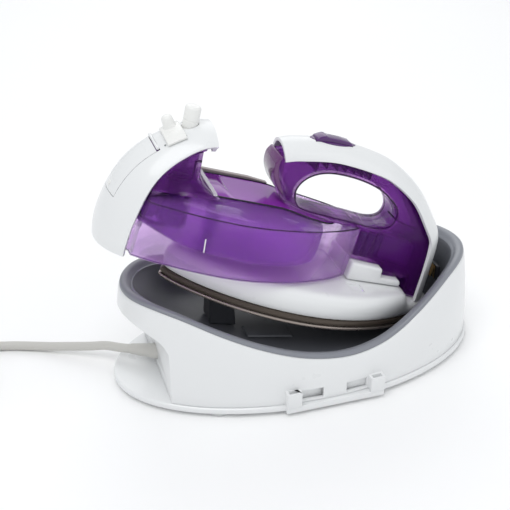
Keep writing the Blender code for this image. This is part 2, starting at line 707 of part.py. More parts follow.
def filler_lid(frame):
    hinge = lid_hinge()
    lid = path_piece(NOSE_PATH, *LID_RANGE, 10, 0.0, 2.2, LID_HALF)
    solid("filler_lid", lid, WHITE, frame, hinge)
    crown, normal, _ = path_frame(NOSE_PATH, FILL_SHARE)
    stopper = aim(post([(6.8, -7.0), (7.4, -6.0), (7.4, -3.1 - GAP)]), crown, normal)
    solid("filler_stopper", stopper, RUBBER, frame, hinge, roughness=0.7)
    pin = aim(post([(0.85, -5), (0.85, 5)], count=12), hinge, (0, 1, 0))
    solid("lid_hinge_pin", pin, STEEL, frame, roughness=0.3, metallic=1.0)


def lid_hinge():
    crown, normal, _ = path_frame(NOSE_PATH, LID_RANGE[1] + HINGE_SEAM / 2)
    return crown - normal * 1.4


def steam_lever(frame):
    crown, normal, radius = path_frame(NOSE_PATH, LEVER_AT)
    axis_point = crown - normal * radius
    along = normal.cross(Vector((0, 1, 0)))
    rings = []
    for shift in (-7.0, 7.0):
        ring = []
        for shell, order in ((2.6, 1), (0.6, -1)):
            for i in range(11):
                turn = (SADDLE[0] + (SADDLE[1] - SADDLE[0]) * (i / 10 if order > 0 else 1 - i / 10))
                ring.append(axis_point + along * shift + normal * (radius + shell) * math.cos(turn)
                            + Vector((0, (radius + shell) * math.sin(turn), 0)))
        rings.append(ring)
    saddle = solid("steam_lever", loft(rings), WHITE, frame, axis_point)
    lean = Vector((0, math.sin(KNOB_TURN), 0)) + normal * math.cos(KNOB_TURN)
    knob = aim(post([(4.2, 0), (3.9, 7.0), (2.6, 9.4)], count=20), axis_point + lean * (radius + 1.2), lean)
    boolean(saddle, solid("lever_knob", knob, frame=frame), "UNION")


SADDLE = (math.radians(-26), math.radians(14))
KNOB_TURN = math.radians(4)


def steam_rod(frame):
    rod = post([(1.8, 36), (1.8, ROD_TOP)], (ROD_X, 0), 12)
    solid("steam_valve_rod", rod, STEEL, frame, roughness=0.3, metallic=1.0)


def jet_button(frame):
    axis = knob_axis()
    cap = aim(post([(KNOB_R, -7), (KNOB_R, 12.2), (KNOB_R - 0.5, 13.2), (KNOB_R - 1.6, 13.8)], count=28),
              KNOB_AT, axis)
    solid("jet_button", cap, WHITE, frame, KNOB_AT)
    rod = aim(post([(2.6, -52), (2.6, -28), (3.2, -28), (3.2, -7 - GAP)], count=16), KNOB_AT, axis)
    solid("pump_piston", rod, STEEL, frame, KNOB_AT, roughness=0.3, metallic=0.8)


COVER_PATH = [(-57, 119.5, 14.5, 12), (-44, 123.3, 15.5, 12), (-14, 127, 16.5, 11.5), (22, 123.6, 17, 11),
              (43, 117.5, 17.5, 11), (66, 104.5, 18, 11), (85, 87, 18.5, 12), (95.5, 75, 19, 12.5),
              (99.5, 63, 19.5, 13), (102, 44, 20, 13), (104.8, 18.5, 20, 13.5)]
HOLE = [(-34, 80), (-29, 75.6), (-18, 73.6), (-4, 72.6), (18, 71.2), (38, 69.8), (48, 72.5), (51, 79),
        (48.5, 86.5),
        (41, 93), (27, 100.5), (8, 104.8), (-12, 105.6), (-25, 102.6), (-33.5, 96), (-36.5, 88)]


def core_outline():
    under_cover = smooth([(100.2, 19), (97.8, 44), (95.2, 62), (91.4, 73), (81.8, 83.8), (63.3, 100.5),
                          (41, 113.2), (21, 119.2), (-14, 122.6), (-43, 119), (-49, 116.5)], 3)
    front = smooth([(-52.8, 114.5), (-54.3, 106), (-53.0, 98), (-49.4, 91.4), (-44.5, 85.2), (-42.5, 79)],
                   2)
    base = [(-41.5, 76.4), (-30, 74.0), (-6, 68.9), (10, 67.6), (24.3, 67.4), (24.3, 43.9), (53, 41.7),
            (54, 33.9),
            (80.2, 33.6), (81.8, 20.4), (90, 19.4)]
    return [(p[0], p[1]) for p in under_cover + front] + base


def handle(frame):
    core = solid("handle_core", side_plate(core_outline(), 1), PURPLE, frame, roughness=0.1)
    for vert in core.data.vertices:
        x, z = vert.co.x / MM, vert.co.z / MM
        half = level(z, [(15, 14), (45, 15), (64, 12), (76, 11.5), (90, 13), (125, 13)])
        vert.co.y *= half if x < 60 else max(half, 14.5)
    hole = smooth(HOLE + HOLE[:1], 2)[:-1]
    boolean(core, solid("finger_hole", side_plate([(p[0], p[1]) for p in hole], 40), frame=frame))
    bevel(core, 4.0, 2)
    outside = 30.0
    keepout = shield(COVER_PATH, 2, outside, outside + COVER_T + GAP)
    boolean(core, solid("cover_keepout", keepout, frame=frame))
    pocket = box((-34, -5.6, 117), (0.5, 5.6, 130))
    boolean(core, solid("button_pocket", pocket, frame=frame))
    boolean(core, solid("panel_pocket", arch_piece(16.0, PANEL_DEPTH + GAP, 14.0, -1.2 - GAP), frame=frame))
    cover = solid("handle_cover", shield(COVER_PATH), WHITE, frame)
    boolean(cover, solid("button_slot", box((-32, -5.4, 115), (-2, 5.4, 140)), frame=frame))
    cap = [(-56.4, 110.6), (-59, 105), (-57.8, 96.5), (-52.8, 88.4), (-46.3, 82), (-45.6, 84.0),
           (-50.4, 91.2),
           (-54.1, 98), (-55.6, 105), (-54.4, 110.4)]
    solid("handle_front_cap", side_plate(cap, 12.0), MAGENTA, frame, roughness=0.15)


PANEL_AT = 0.062                 # share of the cover's path where the indicator panel stands
PANEL_DEPTH = 10.5               # from the cover's crown to the panel's lower edge
LENS_DEPTH = 6.2


def arch_frame():
    """Middle of the cover's arc at the panel, with its upward and forward directions."""
    crown, up, radius = path_frame(COVER_PATH, PANEL_AT)
    return crown - up * radius, up, up.cross(Vector((0, 1, 0))), radius


def arch_piece(radius, depth, front, back):
    """Round-topped block under the cover, depth mm below its crown, from front to back along it."""
    centre, up, ahead, cover_radius = arch_frame()
    edge = math.acos((cover_radius - depth) / radius)
    rings = []
    for shift in (front, back):
        rings.append([centre + ahead * shift + up * (radius * math.cos(turn))
                      + Vector((0, radius * math.sin(turn), 0))
                      for turn in (edge * (k / 5 - 1) for k in range(11))])
    return loft(rings)


def indicators(frame):
    """Panel behind the arch at the front of the handle, with three lenses."""
    centre, up, ahead, radius = arch_frame()
    panel = arch_piece(radius - COVER_T - GAP, PANEL_DEPTH, 0.0, -1.2)
    solid("indicator_panel", panel, MAGENTA, frame, roughness=0.15)
    middle = centre + up * (radius - LENS_DEPTH)
    for name, y in (("left", -6.4), ("middle", 0.0), ("right", 6.4)):
        corners = [(-1.3, -0.9), (1.3, -0.9), (1.3, 0.9), (-1.3, 0.9)]
        rings = [[middle + ahead * shift + up * b + Vector((0, y + a, 0)) for a, b in corners]
                 for shift in (GAP, 1.0)]
        solid(f"indicator_{name}", loft(rings), WHITE, frame, roughness=0.1)


def temperature_button(frame):
    outline = [(-31.5, 120.5), (-31.5, 126.6), (-25.5, 131.0), (-21, 130.0), (-12, 129.8), (-3, 128.6),
               (-2.5, 120.5)]
    solid("temperature_button", side_plate(outline, 4.9), MAGENTA, frame, (-17, 0, 125), roughness=0.2)


def heel_contacts(frame):
    """Pads behind the heel that the stand's fingers touch."""
    for name, y in (("left", -7), ("middle", 0), ("right", 7)):
        outline = [(103.2, 36), (102.4, 46), (103.1, 46), (103.9, 36)]
        pad = loft([[(x, y + side * 2.2, z) for x, z in outline] for side in (-1, 1)])
        solid(f"heel_contact_{name}", pad, BRASS, frame, roughness=0.3, metallic=1.0)


def main():
    clear_scene()
    stand = bpy.data.objects.new("stand_frame", None)
    bpy.context.collection.objects.link(stand)
    base_plate()
    stand_housing()
    cradle_liner()
    leaning_pad("nose_rest", (-62, 0), (9, 8), 1.0)
    leaning_pad("heel_rest_left", (80, -17), (6, 5), 0.6)
    leaning_pad("heel_rest_right", (80, 17), (6, 5), 0.6)
    contacts()
    notice_plate()
    feet_and_screws()
    cord_parts()
    plug()
    for item in bpy.context.collection.objects:
        if item.parent is None and item is not stand:
            item.parent = stand
    stand.location.x = ORIGIN_X * MM

    iron = bpy.data.objects.new("iron_frame", None)
    bpy.context.collection.objects.link(iron)
    iron.location = ((IRON_X + ORIGIN_X) * MM, 0, IRON_Z * MM)
    iron.rotation_euler = (0, LEAN, 0)
    soleplate(iron)
    heater_casting(iron)
    lower_skirt(iron)
    heel_block(iron)
    tank(iron)
    water_works(iron)
    nose(iron)
    filler_lid(iron)
    steam_lever(iron)
    steam_rod(iron)
    jet_button(iron)
    handle(iron)
    temperature_button(iron)
    indicators(iron)
    heel_contacts(iron)


main()
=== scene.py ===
"""Looks of a cordless steam iron leaning in its charging stand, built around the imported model.

Shapes are drawn in millimetres, the stand's upright and the iron's with its soleplate flat on z = 0,
and the STAND and IRON matrices put them in the frame.
"""
import json
import math

import bmesh
import bpy
from mathutils import Matrix, Vector


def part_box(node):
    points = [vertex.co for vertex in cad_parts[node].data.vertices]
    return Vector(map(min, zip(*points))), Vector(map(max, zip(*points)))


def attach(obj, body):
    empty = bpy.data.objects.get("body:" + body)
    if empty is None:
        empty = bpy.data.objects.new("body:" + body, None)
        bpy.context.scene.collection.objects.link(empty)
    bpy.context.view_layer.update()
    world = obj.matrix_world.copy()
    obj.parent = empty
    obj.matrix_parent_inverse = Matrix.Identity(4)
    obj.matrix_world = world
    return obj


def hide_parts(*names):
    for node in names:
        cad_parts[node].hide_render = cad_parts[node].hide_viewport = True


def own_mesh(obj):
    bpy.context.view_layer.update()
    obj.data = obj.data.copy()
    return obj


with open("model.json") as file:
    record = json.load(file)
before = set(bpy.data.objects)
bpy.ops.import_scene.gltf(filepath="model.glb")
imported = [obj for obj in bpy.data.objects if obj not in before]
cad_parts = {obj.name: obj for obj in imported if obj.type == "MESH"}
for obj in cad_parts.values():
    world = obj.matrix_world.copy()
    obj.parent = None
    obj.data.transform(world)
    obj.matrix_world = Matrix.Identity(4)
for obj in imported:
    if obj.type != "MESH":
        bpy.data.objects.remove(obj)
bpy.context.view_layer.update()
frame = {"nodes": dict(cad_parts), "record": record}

MM = 0.001
GAP = 0.35
LEAN = math.radians(19.0)
IRON_X, IRON_Z = -0.3, 52.8
LOW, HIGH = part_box("base_plate")
MIDDLE_X = (LOW.x + HIGH.x) / 2          # the stand is centred on its base plate
STAND = Matrix.Translation((MIDDLE_X, 0, 0)) @ Matrix.Scale(MM, 4)
IRON = (Matrix.Translation((MIDDLE_X + IRON_X * MM, 0, IRON_Z * MM)) @ Matrix.Rotation(LEAN, 4, "Y")
        @ Matrix.Scale(MM, 4))


# ---------------------------------------------------------------- materials

def finish(name, colour, roughness, metallic=0.0, vary=0.04, scale=25.0, grain=700.0, bump=0.02,
           coat=0.0, alpha=1.0, clear=0.0, ior=1.46):
    """Moulded or coated surface: slow colour and gloss variation, and a fine grain."""
    mat = bpy.data.materials.new(name)
    mat.use_nodes = True
    nodes, links = mat.node_tree.nodes, mat.node_tree.links
    shader = nodes["Principled BSDF"]
    shader.inputs["Metallic"].default_value = metallic
    shader.inputs["Coat Weight"].default_value = coat
    shader.inputs["Coat Roughness"].default_value = 0.08
    shader.inputs["Alpha"].default_value = alpha
    shader.inputs["Transmission Weight"].default_value = clear
    shader.inputs["IOR"].default_value = ior
    place = nodes.new("ShaderNodeTexCoord")

    def cloud(size, detail):
        node = nodes.new("ShaderNodeTexNoise")
        node.inputs["Scale"].default_value = size
        node.inputs["Detail"].default_value = detail
        links.new(place.outputs["Object"], node.inputs["Vector"])
        return node

    slow = cloud(scale, 3.0)
    tint = nodes.new("ShaderNodeMix")
    tint.data_type = "RGBA"
    tint.inputs[6].default_value = (*[c * (1 - vary) for c in colour], 1)
    tint.inputs[7].default_value = (*[min(1.0, c * (1 + vary)) for c in colour], 1)
    links.new(slow.outputs["Fac"], tint.inputs[0])
    links.new(tint.outputs[2], shader.inputs["Base Color"])
    gloss = nodes.new("ShaderNodeMapRange")
    gloss.inputs["To Min"].default_value = roughness * 0.8
    gloss.inputs["To Max"].default_value = roughness * 1.2
    links.new(cloud(scale * 3, 2.0).outputs["Fac"], gloss.inputs["Value"])
    links.new(gloss.outputs["Result"], shader.inputs["Roughness"])
    relief = nodes.new("ShaderNodeBump")
    relief.inputs["Strength"].default_value = bump
    relief.inputs["Distance"].default_value = 0.0002
    links.new(cloud(grain, 4.0).outputs["Fac"], relief.inputs["Height"])
    links.new(relief.outputs["Normal"], shader.inputs["Normal"])
    return mat


WHITE = finish("white_plastic", (0.80, 0.81, 0.815), 0.30, coat=0.35, vary=0.012, bump=0.015)
KNOB_WHITE = finish("knob_white", (0.84, 0.84, 0.82), 0.28, coat=0.3, vary=0.02)
HULL_CLEAR = finish("hull_clear", (0.62, 0.28, 0.82), 0.05, vary=0.03, bump=0.004, alpha=0.36, clear=0.8,
                    ior=1.2)
TANK_CLEAR = finish("tank_clear", (0.22, 0.020, 0.46), 0.06, vary=0.06, bump=0.004, alpha=0.78, clear=0.6,
                    ior=1.2)
HANDLE_CLEAR = finish("handle_clear", (0.24, 0.03, 0.38), 0.05, vary=0.06, bump=0.004, alpha=0.74, clear=0.8,
                      ior=1.25)
DECK_VIOLET = finish("deck_violet", (0.26, 0.022, 0.40), 0.12, coat=0.5, vary=0.08, alpha=0.9)
RIB_VIOLET = finish("rib_violet", (0.060, 0.014, 0.13), 0.30, vary=0.15)
# beige of the painted highlight along the hull's far shoulder edge
RIM_HIGHLIGHT = finish("rim_painted_highlight", (0.36, 0.31, 0.30), 0.35, vary=0.05)
INK_VIOLET = finish("ink_violet", (0.012, 0.004, 0.022), 0.25, vary=0.1)
INK_PURPLE = finish("ink_purple", (0.075, 0.012, 0.13), 0.2, coat=0.5, vary=0.1)
MAGENTA = finish("magenta_plastic", (0.13, 0.008, 0.15), 0.12, coat=0.8, vary=0.08, alpha=0.8)
SLATE = finish("slate_plastic", (0.235, 0.245, 0.275), 0.33, coat=0.2, vary=0.05, bump=0.03)
# darker slate: the notice plate's own colour, and painted shade inside the bowl of the liner
SLATE_DARK_AND_SHADE = finish("slate_dark_and_painted_shade", (0.115, 0.120, 0.138), 0.4, vary=0.05, bump=0.03)
RIB_SLATE = finish("rib_slate", (0.055, 0.058, 0.068), 0.4, vary=0.05)
DARK = finish("dark_plastic", (0.020, 0.020, 0.026), 0.35, vary=0.15, bump=0.03)
RUBBER = finish("grey_rubber", (0.58, 0.59, 0.59), 0.7, vary=0.04, bump=0.15)
SOLE = finish("sole_coating", (0.36, 0.31, 0.28), 0.28, metallic=0.75, vary=0.08, grain=1500, bump=0.05)
CAST = finish("casting_coat", (0.075, 0.058, 0.045), 0.38, metallic=0.3, vary=0.12, grain=900, bump=0.08)
STEEL = finish("bright_steel", (0.62, 0.63, 0.65), 0.25, metallic=1.0, vary=0.04)
BRASS = finish("contact_metal", (0.75, 0.55, 0.28), 0.28, metallic=1.0, vary=0.06)
SHEATH = finish("cord_sheath", (0.56, 0.55, 0.52), 0.42, vary=0.03, bump=0.06)
LILAC = finish("lilac_housing", (0.42, 0.34, 0.52), 0.4, vary=0.06)
LENS = finish("lens", (0.85, 0.86, 0.84), 0.1, coat=0.5, vary=0.03)
INK_GREY = finish("mark_grey", (0.25, 0.27, 0.27), 0.5, vary=0.1)
SLOT_FINISH = {
    "white_plastic": WHITE, "purple_plastic": TANK_CLEAR, "magenta_plastic": MAGENTA, "slate_plastic": SLATE,
    "dark_plastic": DARK, "grey_rubber": RUBBER, "sole_coating": SOLE, "casting": CAST, "steel": STEEL,
    "contact_brass": BRASS, "cord_sheath": SHEATH,
}


def dress_nodes():
    """Every carried-over node takes the material of its slot."""
    for part in frame["record"]["subparts"]:
        node = frame["nodes"][part["node"]]
        node.data.materials.clear()
        node.data.materials.append(SLOT_FINISH[part["material_slot"]])
    for name in ("heel_rest_left", "heel_rest_right"):
        frame["nodes"][name].data.materials[0] = DARK
    frame["nodes"]["nose_rest"].data.materials[0] = RIB_SLATE
    frame["nodes"]["notice_plate"].data.materials[0] = SLATE_DARK_AND_SHADE
    for name in ("indicator_left", "indicator_middle", "indicator_right"):
        frame["nodes"][name].data.materials[0] = LENS
    for name in ("pump_body", "feed_tube"):
        frame["nodes"][name].data.materials[0] = RIB_VIOLET


# ---------------------------------------------------------------- shapes

def fill(data, loop, seam):
    """Fills a loop with strips between mirrored points; seam is 1 where loop[0] is its own mirror."""
    half = len(loop) // 2 + seam
    left = loop[:half]
    right = [loop[(seam - 1 - i) % len(loop)] for i in range(half)]
    for i in range(half - 1):
        data.faces.new(list(dict.fromkeys((left[i], left[i + 1], right[i + 1], right[i]))))


def loft(rings, seam=None):
    """Closed skin over rings of equal length, with the first and the last ring filled."""
    data = bmesh.new()
    loops = [[data.verts.new(point) for point in ring] for ring in rings]
    count = len(loops[0])
    for low, high in zip(loops, loops[1:]):
        for i in range(count):
            j = (i + 1) % count
            data.faces.new((low[i], low[j], high[j], high[i]))
    for end in (loops[0], loops[-1]):
        if seam is None:
            data.faces.new(end)
        else:
            fill(data, end, seam)
    return data


def circle(radius, z, count=48, centre=(0, 0)):
    turn = [2 * math.pi * i / count for i in range(count)]
    return [(centre[0] + radius * math.cos(t), centre[1] + radius * math.sin(t), z) for t in turn]


def post(profile, centre=(0, 0), count=48):
    """Upright turned solid from (radius, z) pairs."""
    return loft([circle(radius, z, count, centre) for radius, z in profile])


def aim(data, start, direction):
    """Moves a solid drawn upright at the origin to start, with its +Z along direction."""
    turn = Vector((0, 0, 1)).rotation_difference(Vector(direction))
    data.transform(Matrix.Translation(Vector(start)) @ turn.to_matrix().to_4x4())
    return data


def box(low, high):
    x0, y0, z0 = low
    x1, y1, z1 = high
    return loft([[(x0, y0, z), (x1, y0, z), (x1, y1, z), (x0, y1, z)] for z in (z0, z1)])


def merge(*parts):
    whole = bmesh.new()
    for part in parts:
        carrier = bpy.data.meshes.new("carrier")
        part.to_mesh(carrier)
        part.free()
        whole.from_mesh(carrier)
        bpy.data.meshes.remove(carrier)
    return whole


def smooth(points, steps):
    """Catmull-Rom curve through the points, ends included."""
    dots = [Vector(p) for p in points]
    dots = [2 * dots[0] - dots[1]] + dots + [2 * dots[-1] - dots[-2]]
    line = []
    for a, b, c, d in zip(dots, dots[1:], dots[2:], dots[3:]):
        for k in range(steps):
            t = k / steps
            line.append(0.5 * (2 * b + (c - a) * t + (2 * a - 5 * b + 4 * c - d) * t * t
                               + (3 * b - a - 3 * c + d) * t ** 3))
    line.append(dots[-2])
    return line


def curve(points, steps):
    return [tuple(p) for p in smooth(points, steps)]


def level(x, table):
    """Height at x of the smooth line through (x, height) points."""
    x = min(max(x, table[0][0]), table[-1][0])
    last = len(table) - 1
    slopes = []
    for i in range(last + 1):
        low, high = table[max(i - 1, 0)], table[min(i + 1, last)]
        slopes.append((high[1] - low[1]) / (high[0] - low[0]))
    i = next(k for k in range(last) if x <= table[k + 1][0])
    (x0, z0), (x1, z1) = table[i], table[i + 1]
    span = x1 - x0
    t = (x - x0) / span
    return (z0 * (2 * t ** 3 - 3 * t * t + 1) + z1 * (3 * t * t - 2 * t ** 3)
            + span * (slopes[i] * (t ** 3 - 2 * t * t + t) + slopes[i + 1] * (t ** 3 - t * t)))


def side_plate(outline, half_width, middle=0.0):
    """Solid with the outline of (x, z) points, half_width to each side of y = middle."""
    return loft([[(x, middle + y, z) for x, z in outline] for y in (-half_width, half_width)])


def offset_outline(outline, distance):
    """The closed outline moved inwards by distance, or outwards where it is negative."""
    area = sum(a[0] * b[1] - b[0] * a[1] for a, b in zip(outline, outline[1:] + outline[:1]))
    way = math.copysign(1.0, area)
    moved = []
    for before, here, after in zip(outline[-1:] + outline[:-1], outline, outline[1:] + outline[:1]):
        ends = [Vector((b[0] - a[0], b[1] - a[1])).normalized() for a, b in ((before, here), (here, after))]
        normals = [Vector((-e.y, e.x)) * way for e in ends]
        middle = (normals[0] + normals[1]).normalized()
        reach = distance / max(0.5, middle.dot(normals[0]))
        moved.append((here[0] + middle.x * reach, here[1] + middle.y * reach))
    return moved


def make(name, data, mat, body, slot, place, *replaced, sharp=35, round_edges=0.0, segments=3, cuts=()):
    """Puts the drawn solid into the frame as a piece that rides on body and takes the finish mat; slot is not
    used.
    """
    bmesh.ops.remove_doubles(data, verts=data.verts, dist=1e-4)
    bmesh.ops.recalc_face_normals(data, faces=data.faces)
    data.transform(place)
    mesh = bpy.data.meshes.new(name)
    data.to_mesh(mesh)
    data.free()
    item = bpy.data.objects.new(name, mesh)
    bpy.context.scene.collection.objects.link(item)
    for operation, tool in cuts:
        apply_boolean(item, tool, place, operation)
    if round_edges:
        modifier = item.modifiers.new("rounding", "BEVEL")
        modifier.width = round_edges * MM
        modifier.segments = segments
        modifier.limit_method = "ANGLE"
        modifier.angle_limit = math.radians(40)
        modifier.harden_normals = False
    settle(item)
    item.data.materials.clear()
    item.data.materials.append(mat)
    item.data.shade_smooth()
    item.data.set_sharp_from_angle(angle=math.radians(sharp))
    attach(item, body)
    if replaced:
        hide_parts(*replaced)
    return item


def settle(item):
    """Applies the modifiers, so that only the finished mesh is left."""
    bpy.context.view_layer.update()
    done = bpy.data.meshes.new_from_object(item.evaluated_get(bpy.context.evaluated_depsgraph_get()))
    item.modifiers.clear()
    item.data = done


def apply_boolean(item, tool, place, operation):
    bmesh.ops.remove_doubles(tool, verts=tool.verts, dist=1e-4)
    bmesh.ops.recalc_face_normals(tool, faces=tool.faces)
    tool.transform(place)
    mesh = bpy.data.meshes.new("tool")
    tool.to_mesh(mesh)
    tool.free()
    cutter = bpy.data.objects.new("tool", mesh)
    bpy.context.scene.collection.objects.link(cutter)
    modifier = item.modifiers.new("cut", "BOOLEAN")
    modifier.operation = operation
    modifier.object = cutter
    settle(item)
    bpy.data.objects.remove(cutter)


def cut(*tools):
    return [("DIFFERENCE", tool) for tool in tools]


def join(*tools):
    return [("UNION", tool) for tool in tools]


# ---------------------------------------------------------------- bowed bands

NOSE_PATH = [(-168.5, 23.5, 32, 15), (-170.3, 34, 33, 15.8), (-170, 47, 32.5, 16), (-168, 61, 31.5, 16),
             (-163.5, 76, 30, 15), (-156.5, 89, 28, 13.5), (-147.5, 99.5, 26, 12), (-137.5, 108, 24.5, 10.8),
             (-127, 115, 23.5, 9.8), (-117.5, 119.3, 22.8, 9.2), (-109.5, 121.0, 22, 9.0)]
COVER_PATH = [(-57, 119.5, 14.5, 12), (-44, 123.3, 15.5, 12), (-14, 127, 16.5, 11.5), (22, 123.6, 17, 11),
              (43, 117.5, 17.5, 11), (66, 104.5, 18, 11), (85, 87, 18.5, 12), (95.5, 75, 19, 12.5),
              (99.5, 63, 19.5, 13), (102, 44, 20, 13), (104.8, 18.5, 20, 13.5)]
COVER_T = 2.5
ACROSS = 28


def stations(path, steps):
    """Crown point, outward normal, half width and sag at each step along a band's path."""
    line = smooth([Vector((x, z, w, s)) for x, z, w, s in path], steps)
    result = []
    for i, dot in enumerate(line):
        ahead = line[min(i + 1, len(line) - 1)] - line[max(i - 1, 0)]
        normal = Vector((-ahead[1], 0, ahead[0])).normalized()
        result.append((Vector((dot[0], 0, dot[1])), normal, dot[2], dot[3]))
    return result


def arc_of(half_width, sag):
    """Radius and half opening of the arc that is half_width to each side and sag deep."""
    radius = (half_width ** 2 + sag ** 2) / (2 * sag)
    opening = math.asin(min(1.0, half_width / radius))
    return radius, math.pi - opening if sag > half_width else opening


def band_ring(station, outside=0.0, thickness=COVER_T, across=ACROSS, opening=None):
    """Section of a bowed band: the outer arc through the crown and the inner one back."""
    crown, normal, half_width, sag = station
    radius, whole = arc_of(half_width, sag)
    edge = opening or whole
    ring = []
    for shell, order in ((outside, 1), (outside - thickness, -1)):
        for i in range(across + 1):
            turn = edge * (2 * i / across - 1) * order
            reach = radius + shell
            ring.append(crown + normal * (reach * math.cos(turn) - radius)
                        + Vector((0, reach * math.sin(turn), 0)))
    return ring


def band(path, steps):
    """The whole of a bowed band, with that many sections between points of its path."""
    return loft([band_ring(s) for s in stations(path, steps)], seam=0)


def station_at(path, share):
    line = stations(path, 24)
    return line[round(share * (len(line) - 1))]


def band_piece(path, low, high, outside, thickness, half_width, count=24, across=16):
    """Part of a band between two shares of its path, half_width to each side."""
    rings = []
    for k in range(count + 1):
        station = station_at(path, low + (high - low) * k / count)
        _, _, half, sag = station
        opening = math.asin(half_width / arc_of(half, sag)[0])
        rings.append(band_ring(station, outside, thickness, across, opening))
    return loft(rings, seam=0)


# ---------------------------------------------------------------- stand

RIM = [(-137, 83), (-120, 82), (-100, 76.5), (-75, 65), (-50, 54), (-20, 43.5), (8, 38.2), (26, 38),
       (45, 41.5), (60, 47.5), (78, 57.5), (92, 66), (105, 73), (120, 77), (137, 77.5)]
FLOOR = [(-137, 71), (-118, 67.5), (-105, 58), (-90, 49), (-20, 32), (40, 22), (85, 14.5), (110, 11.5),
         (137, 11.5)]
BASE_A, BASE_B = 145.0, 77.6
BASE_BOTTOM, BASE_TOP = 3.0, 8.0
WALL = 2.5
WALL_BOTTOM = (143.0, 75.8)
WALL_TOP = (136.5, 71.0)
RECESS_X = -112.0
RAIL_X = (-34.0, 42.0)
SCREW_SPOTS = [(-64, -58.5), (64, -58.5), (-64, 58.5), (64, 58.5)]
BOSS_TOP = 20.0
POCKETS = ((-34.0, -23.0), (31.0, 42.0))
WINDOWS = ((-21.5, -5.0), (13.0, 29.5))
POCKET_TOP = 20.0
SHADED_OVAL = (126.3, 61.0)                # half lengths of the oval within which the liner is painted darker, as shade in the bowl's hollow
OVAL_COUNT = 160


def oval(a, b, height):
    ring = []
    for i in range(OVAL_COUNT):
        turn = 2 * math.pi * i / OVAL_COUNT
        x, y = a * math.cos(turn), b * math.sin(turn)
        ring.append((x, y, height(x) if callable(height) else height))
    return ring


def wall_ring(rise, inset, lift=0.0):
    """Ring of the tub's wall: rise 0 at the bottom and 1 at the rim."""
    bulge = 1.2 * math.sin(math.pi * min(rise, 1.0))
    a, b = [low + (high - low) * rise + bulge - inset for low, high in zip(WALL_BOTTOM, WALL_TOP)]
    low = BASE_TOP + GAP
    return oval(a, b, lambda x: low + (level(x, RIM) - low) * rise + lift)


def recess_outline(inset):
    """Side view of the undercut: upright wall, then the soffit that rises to the overhang."""
    x = RECESS_X + inset
    soffit = curve([(x, 49 + inset), (x - 4, 56.5 + inset), (x - 12, 62 + inset), (x - 26, 68.5 + inset),
                    (-160, 76 + inset)], 6)
    return [(-160, -20), (x, -20)] + soffit


def stand():
    steps = (0.0, 0.15, 0.33, 0.5, 0.66, 0.82, 0.95)
    outer = [wall_ring(rise, 0.0) for rise in steps]
    outer += [wall_ring(0.985, 0.25), wall_ring(1.0, 1.0)]
    inner = [wall_ring(0.0, WALL, -3.0)] + [wall_ring(rise, WALL) for rise in steps[1:-1]]
    inner.append(wall_ring(1.0, WALL, 4.0))
    tub = loft(outer, seam=1)
    low = BASE_TOP + GAP
    pockets, slots, grooves = [], [], []
    for side in (-1, 1):
        for x0, x1 in POCKETS:
            pockets.append(box((x0, side * 74.3 - 5, low), (x1, side * 74.3 + 5, POCKET_TOP)))
            middle = side * 75.9
            slots.append(box((x0 + 1.8, middle - 1.8, low + 2), (x1 - 1.8, middle + 1.8, POCKET_TOP + 8)))
            edge = side * 76.3
            grooves.append(box((x0 + 1.0, edge - 3, POCKET_TOP + 2.5), (x1 - 1.0, edge + 3, POCKET_TOP + 13)))
        for x0, x1 in WINDOWS:
            slots.append(box((x0, side * 74.5 - 4, low + 1.6), (x1, side * 74.5 + 4, low + 10)))
    bosses = [post([(5.2, low), (5.2, BOSS_TOP)], (x, y * 1.04), 32) for x, y in SCREW_SPOTS]
    bores = [post([(1.7, low - 2), (1.7, BOSS_TOP - 2)], spot, 24) for spot in SCREW_SPOTS]
    cavity_recess = side_plate(recess_outline(WALL), 95)
    hollow = solid_minus(loft(inner, seam=1), cavity_recess)
    exit_hole = aim(post([(6.4, -9), (6.4, 9)]), CORD_EXIT, GLAND_AXIS)
    make("stand_shell", tub, WHITE, "stand", "white_plastic", STAND, "stand_housing",
         cuts=cut(side_plate(recess_outline(0.0), 90), hollow) + join(merge(*bosses), merge(*pockets))
         + cut(merge(*bores, *slots), exit_hole), round_edges=0.5, segments=2)

    rings = [oval(BASE_A - 1.6, BASE_B - 1.6, BASE_BOTTOM),
             oval(BASE_A - 0.4, BASE_B - 0.4, BASE_BOTTOM + 0.5),
             oval(BASE_A, BASE_B, BASE_BOTTOM + 1.5), oval(BASE_A, BASE_B, BASE_TOP - 1.8),
             oval(BASE_A - 0.35, BASE_B - 0.35, BASE_TOP - 0.6), oval(BASE_A - 1.2, BASE_B - 1.2, BASE_TOP)]
    rails = [box((RAIL_X[0], s * 70 - 8.6, BASE_BOTTOM), (RAIL_X[1], s * 70 + 8.6, BASE_TOP))
             for s in (-1, 1)]
    heads = [post([(3.7, BASE_BOTTOM - 2), (3.7, BASE_BOTTOM + 2.4)], spot, 32) for spot in SCREW_SPOTS]
    shanks = [post([(1.9, BASE_BOTTOM - 2), (1.9, BASE_TOP + 2)], spot, 24) for spot in SCREW_SPOTS]
    for side, name in ((-1, "near"), (1, "far")):
        for k, (x0, x1) in enumerate(WINDOWS):
            back = box((x0 - 1.5, side * 70.6 - 0.7, low + 0.3), (x1 + 1.5, side * 70.6 + 0.7, low + 12))
            make(f"latch_back_{name}_{k + 1}", back, WHITE, "stand", "white_plastic", STAND, round_edges=0.2)
    make("base_cover", loft(rings, seam=1), WHITE, "stand", "white_plastic", STAND, "base_plate",
         cuts=join(merge(*rails)) + cut(merge(*heads), merge(*shanks)), round_edges=0.5, segments=2)


